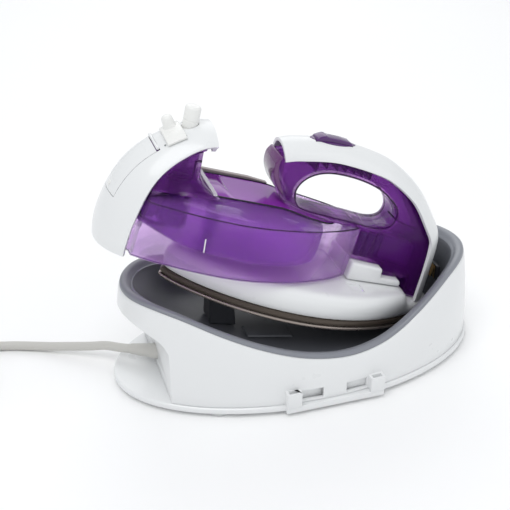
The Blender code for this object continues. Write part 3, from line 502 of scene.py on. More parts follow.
def solid_minus(data, tool):
    """The drawn solid with the tool taken away, as a new drawn solid."""
    mesh = bpy.data.meshes.new("solid")
    bmesh.ops.recalc_face_normals(data, faces=data.faces)
    data.to_mesh(mesh)
    data.free()
    item = bpy.data.objects.new("solid", mesh)
    bpy.context.scene.collection.objects.link(item)
    apply_boolean(item, tool, Matrix.Identity(4), "DIFFERENCE")
    result = bmesh.new()
    result.from_mesh(item.data)
    bpy.data.objects.remove(item)
    return result


def liner():
    def blend(share, offset):
        return lambda x: level(x, FLOOR) + (level(x, RIM) - level(x, FLOOR)) * share + offset

    a, b = WALL_TOP[0] - 0.8, WALL_TOP[1] - 0.8
    top = [oval(30, 12, blend(0, 0)), oval(60, 24, blend(0, 0)), oval(85, 34, blend(0, 0)),
           oval(102, 41, blend(0, 0.2)), oval(109, 45, blend(0.03, 0.5)), oval(114, 49.2, blend(0.15, 0)),
           oval(118, 53, blend(0.38, 0)), oval(121.5, 56.4, blend(0.62, 0)),
           oval(124.2, 59.0, blend(0.84, -0.4)), oval(125.4, 60.1, blend(0.93, -0.6)),
           oval(126.2, 60.9, blend(0.97, 0.2)), oval(127.6, 62.3, blend(1, -0.6)),
           oval(128.1, 62.8, blend(1, -0.2)), oval(128.8, 63.5, blend(1, 1.4)),
           oval(130.2, 64.8, blend(1, 2.7)), oval(132.2, 66.8, blend(1, 3.3)),
           oval(134.2, 68.8, blend(1, 3.0)), oval(a - 0.3, b - 0.3, blend(1, 2.2)),
           oval(a, b, blend(1, 1.2))]
    under = [oval(a, b, blend(1, 0.3)), oval(132.3, 66.8, blend(1, 0.3)), oval(130.2, 65.0, blend(1, -3.0)),
             oval(122.1, 57.1, blend(0.48, 0)), oval(116, 51, blend(0.12, -0.6)),
             oval(108.5, 44.6, blend(0, -2.0)), oval(80, 32, blend(0, -2.4)), oval(30, 12, blend(0, -2.4))]
    bowl = make("bowl", loft(top + under, seam=1), SLATE, "stand", "slate_plastic", STAND, "cradle_liner",
                sharp=50)
    # faces inside the oval deep in the bowl take the darker slate: painted shade in the hollow
    bowl.data.materials.append(SLATE_DARK_AND_SHADE)
    for face in bowl.data.polygons:
        spot = STAND.inverted() @ face.center
        if (spot.x / SHADED_OVAL[0]) ** 2 + (spot.y / SHADED_OVAL[1]) ** 2 < 1:
            face.material_index = 1


# ---------------------------------------------------------------- cord

CORD_EXIT = (-110.7, 3.0, 20.3)
CORD_R = 3.5
GLAND_AXIS = (-0.80, 0.585, -0.13)
GLAND_LENGTH = 31.0
CORD_ROUTE = [(-146, 31.5, 13.6), (-157, 38.5, 10.6), (-172, 47.8, 7.4), (-186.5, 56.0, 4.9),
              (-200, 62.4, 3.9), (-214, 67.6, 3.7), (-232, 72.3, 3.75), (-246, 75.9, 3.85),
              (-255.8, 78.2, 3.85), (-268, 80.4, 3.85), (-280, 81.8, 3.85)]
COIL_CENTRE = (-290.0, 33.6)
COIL_MIDDLE_R = 41.5
TURN_PITCH = 7.1
LAYER_LOW = 3.85
PLUG_LEAVES = math.radians(200)
COIL_FROM, COIL_TO = 90, 2000            # degrees, about 5.3 turns
COIL_STEPS = 111
COLUMNS = [(COIL_FROM, 1), (390, 1), (450, 0), (750, 0), (810, -1), (1320, -1), (1380, 0), (1680, 0),
           (1740, 1), (COIL_TO, 1)]      # 1 is the outermost of three
LAYERS = [(COIL_FROM, 0), (1020, 0), (1110, 1), (COIL_TO, 1)]


def coil_points():
    """About 2.6 turns inwards on the table, a step up, and the rest outwards on top of them."""
    dots = []
    for k in range(COIL_STEPS + 1):
        angle = COIL_FROM + (COIL_TO - COIL_FROM) * k / COIL_STEPS
        column = step_along(angle, COLUMNS)
        layer = step_along(angle, LAYERS)
        radius = COIL_MIDDLE_R + TURN_PITCH * column
        turn = math.radians(angle)
        dots.append((COIL_CENTRE[0] + radius * math.cos(turn), COIL_CENTRE[1] + radius * math.sin(turn),
                     LAYER_LOW + TURN_PITCH * layer))
    return dots


def step_along(angle, stops):
    """Value at the angle, with an eased step between neighbouring (angle, value) stops."""
    for (a, low), (b, high) in zip(stops, stops[1:]):
        if angle <= b:
            part = (angle - a) / (b - a)
            return low + (high - low) * part * part * (3 - 2 * part)
    return stops[-1][1]


def cord():
    axis = Vector(GLAND_AXIS).normalized()
    start = Vector(CORD_EXIT) - axis * 8.5
    first = start + axis * (GLAND_LENGTH + GAP)
    along = Vector((-math.sin(PLUG_LEAVES), math.cos(PLUG_LEAVES), 0))
    coil = [Vector(p) for p in coil_points()]
    tail = [coil[-1] + along * 14 + Vector((0, 0, 0.2)), coil[-1] + along * 29.3 + Vector((0, 0, 0.45))]
    route = [first, first + axis * 8] + [Vector(p) for p in CORD_ROUTE] + coil + tail
    line = smooth(route, 4)
    data = bpy.data.curves.new("mains_lead", "CURVE")
    data.dimensions = "3D"
    data.bevel_depth = CORD_R * MM
    data.bevel_resolution = 5
    data.use_fill_caps = True
    spline = data.splines.new("POLY")
    spline.points.add(len(line) - 1)
    points = [STAND @ p for p in line]
    for dot, place in zip(spline.points, points):
        dot.co = (*place, 1.0)
    data.materials.append(SHEATH)
    item = bpy.data.objects.new("mains_lead", data)
    bpy.context.scene.collection.objects.link(item)
    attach(item, "stand")
    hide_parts("mains_cord", "cord_coil")
    length = sum((b - a).length for a, b in zip(points, points[1:]))
    tuple(points[0])


# ---------------------------------------------------------------- camera and light

EYE = (-228.72, -611.42, 467.87)         # mm from the middle of the stand, at the table's height
TARGET = (-18.98, 45.78, 64.75)          # measured in the same way
FOCAL_LENGTH = 70.588


def camera_and_light():
    lens = bpy.data.cameras.new("view")
    lens.lens = FOCAL_LENGTH
    lens.sensor_width = 36
    eye = bpy.data.objects.new("view", lens)
    bpy.context.scene.collection.objects.link(eye)
    shift = Vector((MIDDLE_X / MM, 0, 0))
    place = (Vector(EYE) + shift) * MM
    target = (Vector(TARGET) + shift) * MM
    eye.location = place
    eye.rotation_euler = (target - place).to_track_quat("-Z", "Y").to_euler()
    bpy.context.scene.camera = eye
    bpy.context.scene.view_settings.view_transform = "Standard"

    world = bpy.data.worlds.new("studio")
    bpy.context.scene.world = world
    world.use_nodes = True
    world.node_tree.nodes["Background"].inputs["Color"].default_value = (0.96, 0.98, 1.0, 1)
    world.node_tree.nodes["Background"].inputs["Strength"].default_value = 0.72
    for name, spot, aim_at, power, size in (("key", (-0.5, -0.5, 1.6), (0, 0, 0.1), 9, 1.0),
                                            ("fill", (1.2, -0.9, 0.9), (0, 0, 0.1), 2, 1.0),
                                            ("back", (0.3, 1.2, 1.0), (0, 0, 0.1), 4, 1.2)):
        light = bpy.data.lights.new(name, "AREA")
        light.energy = power
        light.size = size
        lamp = bpy.data.objects.new(name, light)
        bpy.context.scene.collection.objects.link(lamp)
        lamp.location = spot
        lamp.rotation_euler = (Vector(aim_at) - Vector(spot)).to_track_quat("-Z", "Y").to_euler()

    floor = bpy.data.meshes.new("floor")
    data = bmesh.new()
    bmesh.ops.create_grid(data, x_segments=2, y_segments=2, size=6.0)
    data.to_mesh(floor)
    data.free()
    ground = bpy.data.objects.new("floor", floor)
    bpy.context.scene.collection.objects.link(ground)
    floor.materials.append(finish("floor", (0.98, 0.98, 0.98), 0.6, vary=0.005, scale=2.0, bump=0.0))


# ---------------------------------------------------------------- iron: sole and skirt

SOLE_HALF, SOLE_W = 113.5, 51.0
SOLE_T = 2.4
CASTING_TOP = 7.3
SKIRT_BOTTOM = 7.8
SOLE_COUNT = 120
DECK_STEP = [(-120, 27.2), (70, 27.2), (76, 26.0), (81, 18.0), (84, 17.4), (120, 17.0)]


def sole_ring(scale, z, limit=None):
    """Pointed oval of the soleplate, with the same outline for every level."""
    ring = []
    for i in range(SOLE_COUNT):
        turn = 2 * math.pi * i / SOLE_COUNT
        u = math.cos(turn)
        width = SOLE_W * max(0.0, 1 - abs(u) ** 1.93) ** 0.74
        x = SOLE_HALF * u * (scale + (1 - scale) * 0.4)
        y = math.copysign(width, math.sin(turn)) * scale if 0 < i != SOLE_COUNT // 2 else 0.0
        ring.append((x, y, z if limit is None else limit(x, z)))
    return ring


def skirt_ring(scale, share, inset=0.0, drop=0.0):
    def height(x, _z):
        return SKIRT_BOTTOM + (level(x, DECK_STEP) - SKIRT_BOTTOM) * share - drop

    pinned = []
    for x, y, z in sole_ring(scale, 0.0, height):
        shrink = max(0.0, 1 - inset / max(abs(y), inset + 0.4)) if y else 1.0
        pinned.append((x * (1 - inset / 90), y * shrink, z))
    return pinned


def sole_and_skirt():
    rings = [sole_ring(0.975, 0.0), sole_ring(0.985, 0.05), sole_ring(0.996, 0.4), sole_ring(1.0, 0.9),
             sole_ring(1.0, 1.9), sole_ring(0.997, 2.2), sole_ring(0.99, SOLE_T)]
    vents = []
    for x, y in [(-88, 0)] + [(-74 + 15 * k, s * (12 + 4.5 * k)) for k in range(5) for s in (-1, 1)]:
        vents.append(post([(1.7, -2), (1.7, SOLE_T + 2)], (x, y), 20))
    make("coated_sole", loft(rings, seam=1), SOLE, "iron", "sole_coating", IRON, "soleplate",
         cuts=cut(merge(*vents)))

    profile = [(0.965, SOLE_T + GAP), (0.965, 3.4), (0.985, 3.7), (0.994, 4.1), (0.996, 5.0), (0.994, 6.2),
               (0.985, 7.0), (0.97, CASTING_TOP)]
    rings = [sole_ring(scale, z) for scale, z in profile]
    make("casting_band", loft(rings, seam=1), CAST, "iron", "casting", IRON, "heater_casting")

    outer = [(0.955, 0.0), (0.975, 0.1), (0.99, 0.25), (0.998, 0.42), (1.0, 0.58), (0.99, 0.74),
             (0.965, 0.86), (0.935, 0.93), (0.90, 0.97), (0.85, 0.99), (0.80, 1.0)]
    rings = [skirt_ring(scale, share, 2.2, 2.0) for scale, share in reversed(outer[2:-1])]
    rings.append(skirt_ring(0.955, 0.0, 2.2))
    rings += [skirt_ring(scale, share) for scale, share in outer]
    hole = post([(4.6, 15), (4.6, 35)], (FEED_X, 0), 32)
    dish = [box((23, s * 30 - 5.5, 26), (35, s * 30 + 5.5, 30)) for s in (-1, 1)]
    make("lower_cover", loft(rings, seam=1), WHITE, "iron", "white_plastic", IRON, "lower_skirt", sharp=50,
         cuts=cut(hole, merge(*dish)), round_edges=0.3, segments=2)
    outline = [(24.5, 27.8), (24.5, 43.0), (52.4, 41.0), (53.4, 33.2), (71.5, 33.0), (72.5, 27.9)]
    make("heel_island", side_plate(outline, 21), WHITE, "iron", "white_plastic", IRON, "heel_block",
         round_edges=2.4, segments=4)


# ---------------------------------------------------------------- iron: tank

HULL_FRONT = [(-165.6, 6), (-163.6, 14), (-159.6, 22), (-155.8, 26.5), (-151.2, 30.3)]
HULL_FLANK = [(-150.8, 36.3), (-144, 39.5), (-133, 43), (-122, 46), (-108, 49), (-90, 51.5), (-74, 52),
              (-59, 50.5), (-42, 47), (-24, 42), (-8, 35.5), (8, 27.8), (22, 18.5)]
DECK = [(-170, 75.5), (-48, 75.5), (-30, 72.5), (-6, 67.3), (10, 66.0), (30, 65.6)]
HULL_LEVELS = [(0.0, 1.0, 0.0), (0.25, 0.99, 0.4), (0.5, 0.965, 1.0), (0.75, 0.938, 2.4), (0.9, 0.915, 3.8),
               (1.0, 0.875, 4.8)]
HULL_TOP = [(0.83, 5.2, 0.12), (0.77, 5.7, 0.3), (0.70, 6.3, 0.48), (0.60, 7.2, 0.68), (0.50, 8.2, 0.88),
            (0.41, 9.0, 1.0)]
HULL_RIM = 68.5
TANK_BOTTOM = 30.3
TANK_WALL = 2.0
FEED_X = -88.0
INNER_LOW = [(-164, 55.8), (-144, 50.2), (-113, 41.6), (-84, 39.6), (-59, 37.6), (-22, 38.5), (-4, 42)]
INNER_SIDE = [(-157, 6), (-155.5, 14), (-152, 22), (-147, 28), (-138, 33), (-122, 38), (-105, 41.5),
              (-88, 43.6), (-72, 44), (-56, 42.5), (-40, 39.5), (-26, 35), (-14, 28), (-8, 20), (-5, 10)]


def hull_ring(z, width, inset=0.0, lean=0.0, top_share=None):
    half = []
    for x, y in HULL_FRONT + curve(HULL_FLANK, 4):
        shift = inset * (1 - 2 * (x + 165.6) / 187.6) + lean * max(0.0, (-100 - x) / 65)
        high = z if top_share is None else z + (level(x, DECK) - inset - z) * top_share
        half.append((x + shift, max(y * width - inset, 0.6), high))
    return half + [(x, -y, high) for x, y, high in reversed(half)]


def hull_rings(inset):
    rise = HULL_RIM - TANK_BOTTOM
    rings = [hull_ring(TANK_BOTTOM + rise * share, width, inset, lean) for share, width, lean in HULL_LEVELS]
    return rings + [hull_ring(HULL_RIM, width, inset, lean, share) for width, lean, share in HULL_TOP]


def inner_ring(share, width, inset):
    half = []
    for x, y in curve(INNER_SIDE, 4):
        low = level(x, INNER_LOW) + inset
        high = min(70.0, level(x, DECK) - 2.8) - inset
        half.append((x, max(y * width - inset, 0.6), low + (high - low) * share))
    return half + [(x, -y, high) for x, y, high in reversed(half)]


def inner_rings(inset):
    steps = [(0.0, 0.62), (0.0, 0.86), (0.05, 0.93), (0.14, 0.985), (0.28, 1.0), (0.6, 0.985), (0.85, 0.95),
             (0.96, 0.88), (1.0, 0.80), (1.0, 0.55)]
    return [inner_ring(share, width, inset) for share, width in steps]


def deck_passages():
    """Cutter for the round passages through the deck, at KNOB_FOOT and at ROD_X."""
    return merge(post([(9.8, 60), (9.8, 90)], KNOB_FOOT), post([(3.2, 60), (3.2, 90)], (ROD_X, 0), 24))


def tank():
    skin = loft(list(reversed(hull_rings(TANK_WALL))) + hull_rings(0.0), seam=0)
    make("outer_hull", skin, HULL_CLEAR, "iron", "purple_plastic", IRON, "tank_shell",
         cuts=cut(deck_passages()))
    passages = [post([(11.2, 30), (11.2, 90)], KNOB_FOOT), post([(4, 30), (4, 90)], (ROD_X, 0), 24),
                post([(5.2, 30), (5.2, 60)], (FEED_X, 0), 24)]
    make("water_tank", loft(inner_rings(0.0), seam=0), TANK_CLEAR, "iron", "purple_plastic", IRON,
         cuts=cut(merge(*passages)))
    ring = [(x, y * 1.004, z) for x, y, z in hull_ring(TANK_BOTTOM, 1.0, TANK_WALL + GAP)]
    low = [(x, y, TANK_BOTTOM + 1.8) for x, y, z in ring]
    floor_hole = post([(4.6, 25), (4.6, 35)], (FEED_X, 0), 32)
    make("hull_floor", loft([ring, low], seam=0), HULL_CLEAR, "iron", "purple_plastic", IRON, "tank_floor",
         cuts=cut(floor_hole))


TOWER = [(0.455, -96, 76.6), (0.485, -103, 79.6), (0.52, -109, 84), (0.56, -111.4, 86.4), (0.60, -113, 88.5),
         (0.65, -113.8, 91.5), (0.70, -114.3, 94.5), (0.75, -114.6, 97.7), (0.80, -114.9, 101),
         (0.885, -115.3, 105.5)]


def tower_ring(share, rear_x, rear_z, inset, across=26):
    """Section of the block behind the nose: an arc under the nose shell, flush sides, a flat rear."""
    crown, normal, half, sag = station_at(NOSE_PATH, share)
    radius = (half ** 2 + sag ** 2) / (2 * sag)
    edge = math.asin(half / radius)
    reach = radius - COVER_T - GAP - inset
    arc = []
    for i in range(across + 1):
        turn = edge * (2 * i / across - 1)
        arc.append(crown + normal * (reach * math.cos(turn) - radius)
                   + Vector((0, reach * math.sin(turn), 0)))
    side = crown + normal * (radius * math.cos(edge) - radius - 0.8 - inset)
    rear_x -= inset
    wide = half - inset
    tail = [(rear_x, 6 - wide, rear_z), (rear_x - 0.5, 4 - wide, rear_z), (rear_x - 1.7, 1.7 - wide, rear_z),
            (rear_x - 3.6, 0.5 - wide, rear_z), (rear_x - 6, -wide, rear_z), (side.x, -wide, side.z)]
    return tail + arc + [(x, -y, z) for x, y, z in reversed(tail)]


def tower_rings(inset):
    share, x, z = TOWER[0]
    first = tower_ring(share + inset / 200, x, z + inset, inset)
    return [first] + [tower_ring(*spot, inset) for spot in TOWER[1:]]


KNOB_AT = Vector((-124.0, 0, 116.3))
KNOB_R = 5.6
KNOB_FOOT = (-119.7, 0.0)
SPRING_LOW, SPRING_LENGTH = 39.3, 24.4
KNOB_AXIS = Vector((-0.10, 0, 0.995)).normalized()
ROD_X = -138.0
LID_RANGE = (0.30, 0.60)
LID_HALF = 13.0
HINGE_SEAM = 0.021
LEVER_AT = 0.72
FILL_SHARE = 0.49
SADDLE = (math.radians(-26), math.radians(14))
KNOB_TURN = math.radians(4)


def path_frame(path, share):
    """Crown point, outward normal and arc radius part of the way along a band's path."""
    crown, normal, half, sag = station_at(path, share)
    return crown, normal, (half ** 2 + sag ** 2) / (2 * sag)


def nose():
    head = loft(tower_rings(TANK_WALL) + list(reversed(tower_rings(0.0))), seam=0)
    crown, normal, _ = path_frame(NOSE_PATH, FILL_SHARE)
    mouth = aim(post([(8.5, -9), (8.5, 6)]), crown, normal)
    stem = aim(post([(6.2, -14), (6.2, 5)]), KNOB_AT, KNOB_AXIS)
    make("tower_block", head, HANDLE_CLEAR, "iron", "purple_plastic", IRON, "tank_tower", sharp=40,
         cuts=cut(mouth, deck_passages(), stem))

    lid_hole = band_piece(NOSE_PATH, LID_RANGE[0] - 0.003, LID_RANGE[1] + HINGE_SEAM, 4.0, 12.0,
                          LID_HALF + 0.35)
    stem = aim(post([(KNOB_R + 0.4, -12), (KNOB_R + 0.4, 6)], count=64), KNOB_AT, KNOB_AXIS)
    rear = band_piece(NOSE_PATH, 0.972, 1.0, 0.0, 9.0, 21.5, count=4)
    make("nose_cover", band(NOSE_PATH, 8), WHITE, "iron", "white_plastic", IRON, "nose_shell", sharp=40,
         cuts=join(rear) + cut(lid_hole, stem), round_edges=0.7)

    lid = band_piece(NOSE_PATH, *LID_RANGE, 0.0, 2.2, LID_HALF, count=36)
    panel = band_piece(NOSE_PATH, LID_RANGE[0] + 0.05, LID_RANGE[1] - 0.04, 1.0, 1.25, LID_HALF - 4.5,
                       count=30)
    make("fill_door", lid, WHITE, "filler_lid", "white_plastic", IRON, "filler_lid", cuts=cut(panel),
         round_edges=0.45, segments=3)
    catch_at, catch_normal, _ = path_frame(NOSE_PATH, LID_RANGE[0] + 0.025)
    catch = aim(box((-1.6, -1.8, -0.4), (1.6, 1.8, 0.5)), catch_at, catch_normal)
    make("door_tab", catch, KNOB_WHITE, "filler_lid", "white_plastic", IRON, round_edges=0.3)

    crown, normal, _ = path_frame(NOSE_PATH, LID_RANGE[1] + HINGE_SEAM / 2)
    barrel = post([(0.8, -12.6), (1.15, -12.3), (1.15, 12.3), (0.8, 12.6)], count=32)
    barrel = aim(barrel, crown - normal * 1.4, (0, 1, 0))
    make("hinge_barrel", barrel, WHITE, "iron", "white_plastic", IRON, "lid_hinge_pin")
    for i, share in enumerate((0.655, 0.685, 0.775, 0.80)):
        centre, normal, radius = path_frame(NOSE_PATH, share)
        turn = math.radians((-21, 19, -20, 17)[i])
        out = Vector((0, math.sin(turn), 0)) + normal * math.cos(turn)
        spot = centre - normal * radius + out * (radius - 0.15)
        make(f"setting_dot_{i + 1}", aim(post([(0.75, 0), (0.75, 0.3), (0.6, 0.4)], count=24), spot, out),
             INK_GREY, "iron", "dark_plastic", IRON)


def lever():
    crown, normal, radius = path_frame(NOSE_PATH, LEVER_AT)
    axis_point = crown - normal * radius
    along = normal.cross(Vector((0, 1, 0)))
    rings = []
    for shift, low in ((-7.0, 0.9), (-6.4, 0.3), (0.0, 0.0), (6.4, 0.3), (7.0, 0.9)):
        ring = []
        for shell, order in ((2.6 - low, 1), (0.6, -1)):
            for i in range(31):
                share = i / 30 if order > 0 else 1 - i / 30
                turn = SADDLE[0] + (SADDLE[1] - SADDLE[0]) * share
                ring.append(axis_point + along * shift + normal * (radius + shell) * math.cos(turn)
                            + Vector((0, (radius + shell) * math.sin(turn), 0)))
        rings.append(ring)
    lean = Vector((0, math.sin(KNOB_TURN), 0)) + normal * math.cos(KNOB_TURN)
    profile = [(5.2, 0), (4.5, 1.6), (4.15, 3.6), (4.0, 6.2), (3.7, 7.8), (3.1, 8.8), (2.2, 9.3), (1.0, 9.45)]
    knob = aim(post(profile, count=56), axis_point + lean * (radius + 1.2), lean)
    make("steam_selector", loft(rings), KNOB_WHITE, "steam_lever", "white_plastic", IRON, "steam_lever",
         cuts=join(knob), round_edges=0.5)
    profile = [(KNOB_R, -7), (KNOB_R, 3.4), (KNOB_R - 0.25, 3.6), (KNOB_R - 0.25, 4.0), (KNOB_R, 4.2),
               (KNOB_R, 11.6), (KNOB_R - 0.25, 12.6), (KNOB_R - 0.9, 13.4), (KNOB_R - 1.9, 13.8),
               (KNOB_R - 3.4, 13.55), (1.0, 13.4)]
    make("jet_knob", aim(post(profile, count=72), KNOB_AT, KNOB_AXIS), KNOB_WHITE, "jet_button",
         "white_plastic", IRON, "jet_button")


# ---------------------------------------------------------------- iron: handle

HOLE = [(-34, 80), (-29, 75.6), (-18, 73.6), (-4, 72.6), (18, 71.2), (38, 69.8), (48, 72.5), (51, 79),
        (48.5, 86.5), (41, 93), (27, 100.5), (8, 104.8), (-12, 105.6), (-25, 102.6), (-33.5, 96), (-36.5, 88)]
CORE_TOP = [(100.2, 19), (97.8, 44), (95.2, 62), (91.4, 73), (81.8, 83.8), (63.3, 100.5), (41, 113.2),
            (21, 119.2), (-14, 122.6), (-43, 119), (-49, 116.5)]
CORE_FRONT = [(-52.8, 114.5), (-54.3, 106), (-53.0, 98), (-49.4, 91.4), (-44.5, 85.2), (-42.5, 79)]
CORE_BASE = [(-41.5, 76.4), (-30, 74.0), (-6, 68.9), (10, 67.6), (24.3, 67.4), (24.3, 43.9), (53, 41.7),
             (54, 33.9), (80.2, 33.6), (81.8, 20.4), (90, 19.4)]
CORE_WIDTH = [(15, 14), (45, 15), (64, 12), (76, 11.5), (90, 13), (125, 13)]
PANEL_AT = 0.062
GRIP_WALL = 2.2
GRIP_RIBS = [(-26, 103.6, 113.4), (-18.5, 107.4, 114.5), (-10, 107.8, 113.5), (-3, 107.4, 113.2),
             (4, 107.2, 113), (11, 106.4, 112), (18.4, 104.8, 112)]       # x, bottom and top of each
PANEL_DEPTH = 10.5


def core_half(x, z, inset):
    half = level(z, CORE_WIDTH)
    return (half if x < 60 else max(half, 14.5)) - inset


def arch_piece(radius, depth, front, back):
    """Round-topped block under the cover, depth mm below its crown, from front to back along it."""
    crown, up, cover_radius = path_frame(COVER_PATH, PANEL_AT)
    centre = crown - up * cover_radius
    ahead = up.cross(Vector((0, 1, 0)))
    foot = cover_radius - depth
    edge = math.acos(foot / radius)
    rings = []
    for shift in (back, front):
        ring = []
        for i in range(25):
            turn = edge * (2 * i / 24 - 1)
            ring.append(centre + up * radius * math.cos(turn) + ahead * shift
                        + Vector((0, radius * math.sin(turn), 0)))
        rings.append(ring)
    return loft(rings)


def core_solid(inset):
    outline = curve(CORE_TOP, 5) + curve(CORE_FRONT, 4) + CORE_BASE
    if inset:
        outline = offset_outline(outline, inset)
    return loft([[(x, side * core_half(x, z, inset), z) for x, z in outline] for side in (-1, 1)])


def handle():
    hole = curve(HOLE + HOLE[:1], 5)[:-1]
    cover_room = loft([band_ring(s, 30.0, 30.0 + COVER_T + GAP) for s in stations(COVER_PATH, 3)], seam=0)
    inner_room = loft([band_ring(s, 30.0, 32.0 + COVER_T + GAP) for s in stations(COVER_PATH, 3)], seam=0)
    button_room = box((-34, -5.6, 117), (0.5, 5.6, 130))
    panel_room = arch_piece(16.0, PANEL_DEPTH + GAP, 14.0, -1.2 - GAP)
    hollow = core_solid(GRIP_WALL)
    for room in (side_plate(offset_outline(hole, -GRIP_WALL), 40), inner_room,
                 box((-36, -7.6, 115), (2.5, 7.6, 130)), arch_piece(18.0, PANEL_DEPTH + 2.4, 16.0, -3.4)):
        hollow = solid_minus(hollow, room)
    make("handle_grip", core_solid(0.0), HANDLE_CLEAR, "iron", "purple_plastic", IRON, "handle_core",
         cuts=cut(side_plate(hole, 40), cover_room, button_room, panel_room, hollow), sharp=50,
         round_edges=1.6, segments=3)
    for k, (x, low, high) in enumerate(GRIP_RIBS):
        rib = box((x - 0.5, -9.5, low), (x + 0.5, 9.5, high))
        make(f"grip_rib_{k + 1}", rib, RIB_VIOLET, "iron", "purple_plastic", IRON, round_edges=0.2)
    for side, name in ((-1, "near"), (1, "far")):
        ring = [(x, side * (core_half(x, z, 0.0) - 0.6), z) for x, z in offset_outline(hole, -0.7)]
        tube(f"hole_rim_{name}", ring, 0.55, INK_VIOLET, "purple_plastic", closed=True)
    make("grip_cover", band(COVER_PATH, 9), WHITE, "iron", "white_plastic", IRON, "handle_cover", sharp=45,
         cuts=cut(box((-32, -5.4, 115), (-2, 5.4, 140))), round_edges=0.7)
    cap = curve([(-56.4, 110.6), (-59, 105), (-57.8, 96.5), (-52.8, 88.4), (-46.3, 82)], 5)
    cap += curve([(-45.6, 84.0), (-50.4, 91.2), (-54.1, 98), (-55.6, 105), (-54.4, 110.4)], 5)
    make("front_facing", side_plate(cap, 12.0), MAGENTA, "iron", "magenta_plastic", IRON, "handle_front_cap",
         round_edges=0.8)
    crest = curve([(-30.6, 127.0), (-25.5, 129.4), (-21, 128.9), (-12, 128.9), (-4.4, 128.3)], 5)
    outline = [(-31.5, 120.5), (-31.5, 125.6)] + crest + [(-2.5, 127.2), (-2.5, 120.5)]
    make("temperature_rocker", side_plate(outline, 4.9), INK_PURPLE, "temperature_button",
         "magenta_plastic", IRON, "temperature_button", round_edges=0.9)
    rings = []
    for k in range(25):
        x = -35 + 37 * k / 24
        half = 0.3 + 7.4 * math.sin(math.pi * k / 24) ** 0.6
        z = level(x, [(x, z) for x, z, _, _ in COVER_PATH[:4]])
        spots = [(y, y * y / 34) for y in (-half, -half / 2, 0, half / 2, half)]
        rings.append([(x, y, z + 0.35 - d) for y, d in spots]
                     + [(x, y, z - 0.8 - d) for y, d in reversed(spots)])
    make("rocker_surround", loft(rings), INK_PURPLE, "iron", "magenta_plastic", IRON,
         cuts=cut(box((-32, -5.4, 115), (-2, 5.4, 140))))


# ---------------------------------------------------------------- iron: works seen through the tank

def swept(loops_of, closed):
    """Skin over rings in order, joined end to start where it is closed and capped where it isn't."""
    data = bmesh.new()
    loops = [[data.verts.new(dot) for dot in loop] for loop in loops_of]
    count = len(loops[0])
    for low, high in zip(loops, loops[1:] + (loops[:1] if closed else [])):
        for i in range(count):
            j = (i + 1) % count
            data.faces.new((low[i], low[j], high[j], high[i]))
    if not closed:
        data.faces.new(loops[0])
        data.faces.new(loops[-1])
    return data


def rings_along(line, radius, closed):
    """Twelve-sided rings of the radius, square to the line at each of its points."""
    dots = [Vector(dot) for dot in line]
    rings = []
    for i, dot in enumerate(dots):
        back = dots[i - 1] if closed or i else dot
        front = dots[(i + 1) % len(dots)] if closed or i + 1 < len(dots) else dot
        ahead = (front - back).normalized()
        side = ahead.cross(Vector((0.13, 0.97, 0.21))).normalized()
        other = ahead.cross(side)
        rings.append([dot + (side * math.cos(t) + other * math.sin(t)) * radius
                      for t in [2 * math.pi * k / 12 for k in range(12)]])
    return rings


def tube(name, line, radius, mat, slot, *replaced, closed=False):
    """Round bar along a line of points, fixed to the iron."""
    return make(name, swept(rings_along(line, radius, closed), closed), mat, "iron", slot, IRON, *replaced)


PANEL_SIDE = [(-112.5, 19.6), (-100, 20), (-70, 20), (-40, 19.6), (-20, 17.5), (-6, 13.5), (2, 8.5), (5.5, 3)]


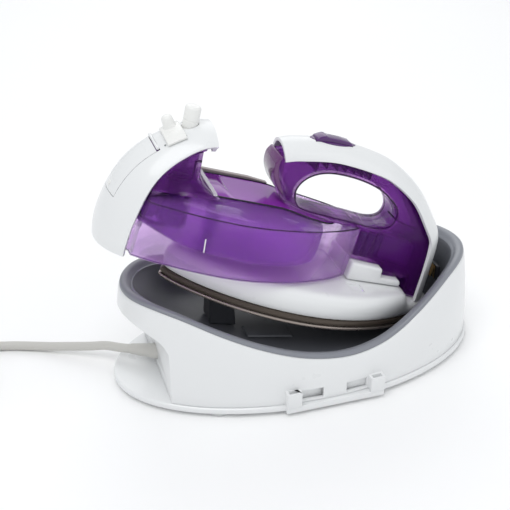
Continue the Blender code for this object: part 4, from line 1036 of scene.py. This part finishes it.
def works():
    def panel_ring(lift, grow):
        half = [(x + (grow if x > -20 else -grow), y + grow, level(x, DECK) + lift)
                for x, y in curve(PANEL_SIDE, 5)]
        return half + [(x, -y, z) for x, y, z in reversed(half)]

    passages = [post([(10.6, 60), (10.6, 90)], KNOB_FOOT)]
    make("deck_panel", loft([panel_ring(0.25, -0.3), panel_ring(0.4, 0.0), panel_ring(0.62, 0.0),
                             panel_ring(0.76, -0.2)], seam=0), DECK_VIOLET, "iron", "purple_plastic", IRON,
         cuts=cut(*passages))
    tube("deck_edge", panel_ring(0.75, 0.9), 0.7, INK_VIOLET, "purple_plastic", closed=True)
    rim = [(x, y * 1.002, z) for x, y, z in hull_ring(HULL_RIM, 0.875, 0.9, 4.8)]
    tube("hull_rim_line", rim, 0.45, INK_VIOLET, "purple_plastic", closed=True)
    foot = hull_ring(TANK_BOTTOM + 0.5, 1.0, 0.9)
    tube("hull_foot_line", foot, 0.3, RIB_VIOLET, "purple_plastic", closed=True)
    # beige strip on the far side of the deck: a painted highlight standing in for light caught on the hull's
    # far shoulder
    strip = [(-112, 75.8), (-104, 78.6), (-60, 78.2), (-44, 76.6), (-44, 75.8)]
    make("far_rim_highlight", side_plate(strip, 2.0, 24.5), RIM_HIGHLIGHT, "iron", "dark_plastic", IRON, round_edges=0.5)
    base = KNOB_AT - KNOB_AXIS * 72
    other = KNOB_AXIS.cross(Vector((0, 1, 0)))
    wire = []
    for k in range(181):
        turn = 2 * math.pi * 5 * k / 180
        wire.append(base + KNOB_AXIS * (SPRING_LOW + SPRING_LENGTH * k / 180)
                    + (Vector((0, 1, 0)) * math.cos(turn) + other * math.sin(turn)) * 4.4)
    spring = tube("return_spring", wire, 0.55, STEEL, "steel", "pump_spring")
    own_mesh(spring)
    profile = [(6.5, 0), (8.2, 1), (8.2, 6), (6.6, 7), (6.6, 9), (8.4, 10), (8.4, 15), (5, 16.5)]
    drum = aim(post(profile, count=40), (-144.5, -16, 60.5), (1, 0, 0.05))
    make("valve_drum", drum, RIB_VIOLET, "iron", "dark_plastic", IRON)
    route = [(-150, -20, 68), (-151, -24, 62), (-148, -26, 56.5), (-141, -27, 53), (-130, -26, 52)]
    tube("feed_pipe", curve(route, 6), 1.5, INK_VIOLET, "dark_plastic")
    frame_line = [(-144.7, -22, 62), (-145.6, -22, 68.8), (-132.5, -22, 72.7), (-135.1, -22, 84),
                  (-119.5, -22, 86.4), (-120.5, -22, 99.5), (-116.5, -22, 99.9)]
    tube("tower_frame", frame_line, 0.9, INK_VIOLET, "dark_plastic")
    for k in range(3):
        x = 30.5 + 7.4 * k
        barrel = post([(3.0, 45.0), (3.3, 45.4), (3.3, 63.6), (2.8, 64.4)], (x, -9.0), 28)
        make(f"rear_column_{k + 1}", barrel, RIB_VIOLET, "iron", "dark_plastic", IRON)
    board = side_plate([(52, 44), (80, 40), (80, 58), (50, 62)], 5.5)
    make("rear_housing", board, LILAC, "iron", "white_plastic", IRON, round_edges=0.8)
    arc = curve([(44, 83.5), (52, 79), (60, 76), (68, 74.4), (74, 73.7)], 5)
    tube_line = [(x, -8.5, z) for x, z in arc]
    tube("spine_arc", tube_line, 0.6, INK_VIOLET, "dark_plastic")
    mark = box((-0.35, -0.25, -5.0), (0.35, 0.25, 5.0))
    mark.transform(Matrix.Rotation(math.radians(-9), 4, "Y"))
    mark.transform(Matrix.Translation((-106.7, -49.0, 51.4)))
    make("fill_mark", mark, KNOB_WHITE, "iron", "white_plastic", IRON)


# ---------------------------------------------------------------- the pieces

dress_nodes()
camera_and_light()
cord()
stand()
liner()
sole_and_skirt()
tank()
nose()
lever()
handle()
works()
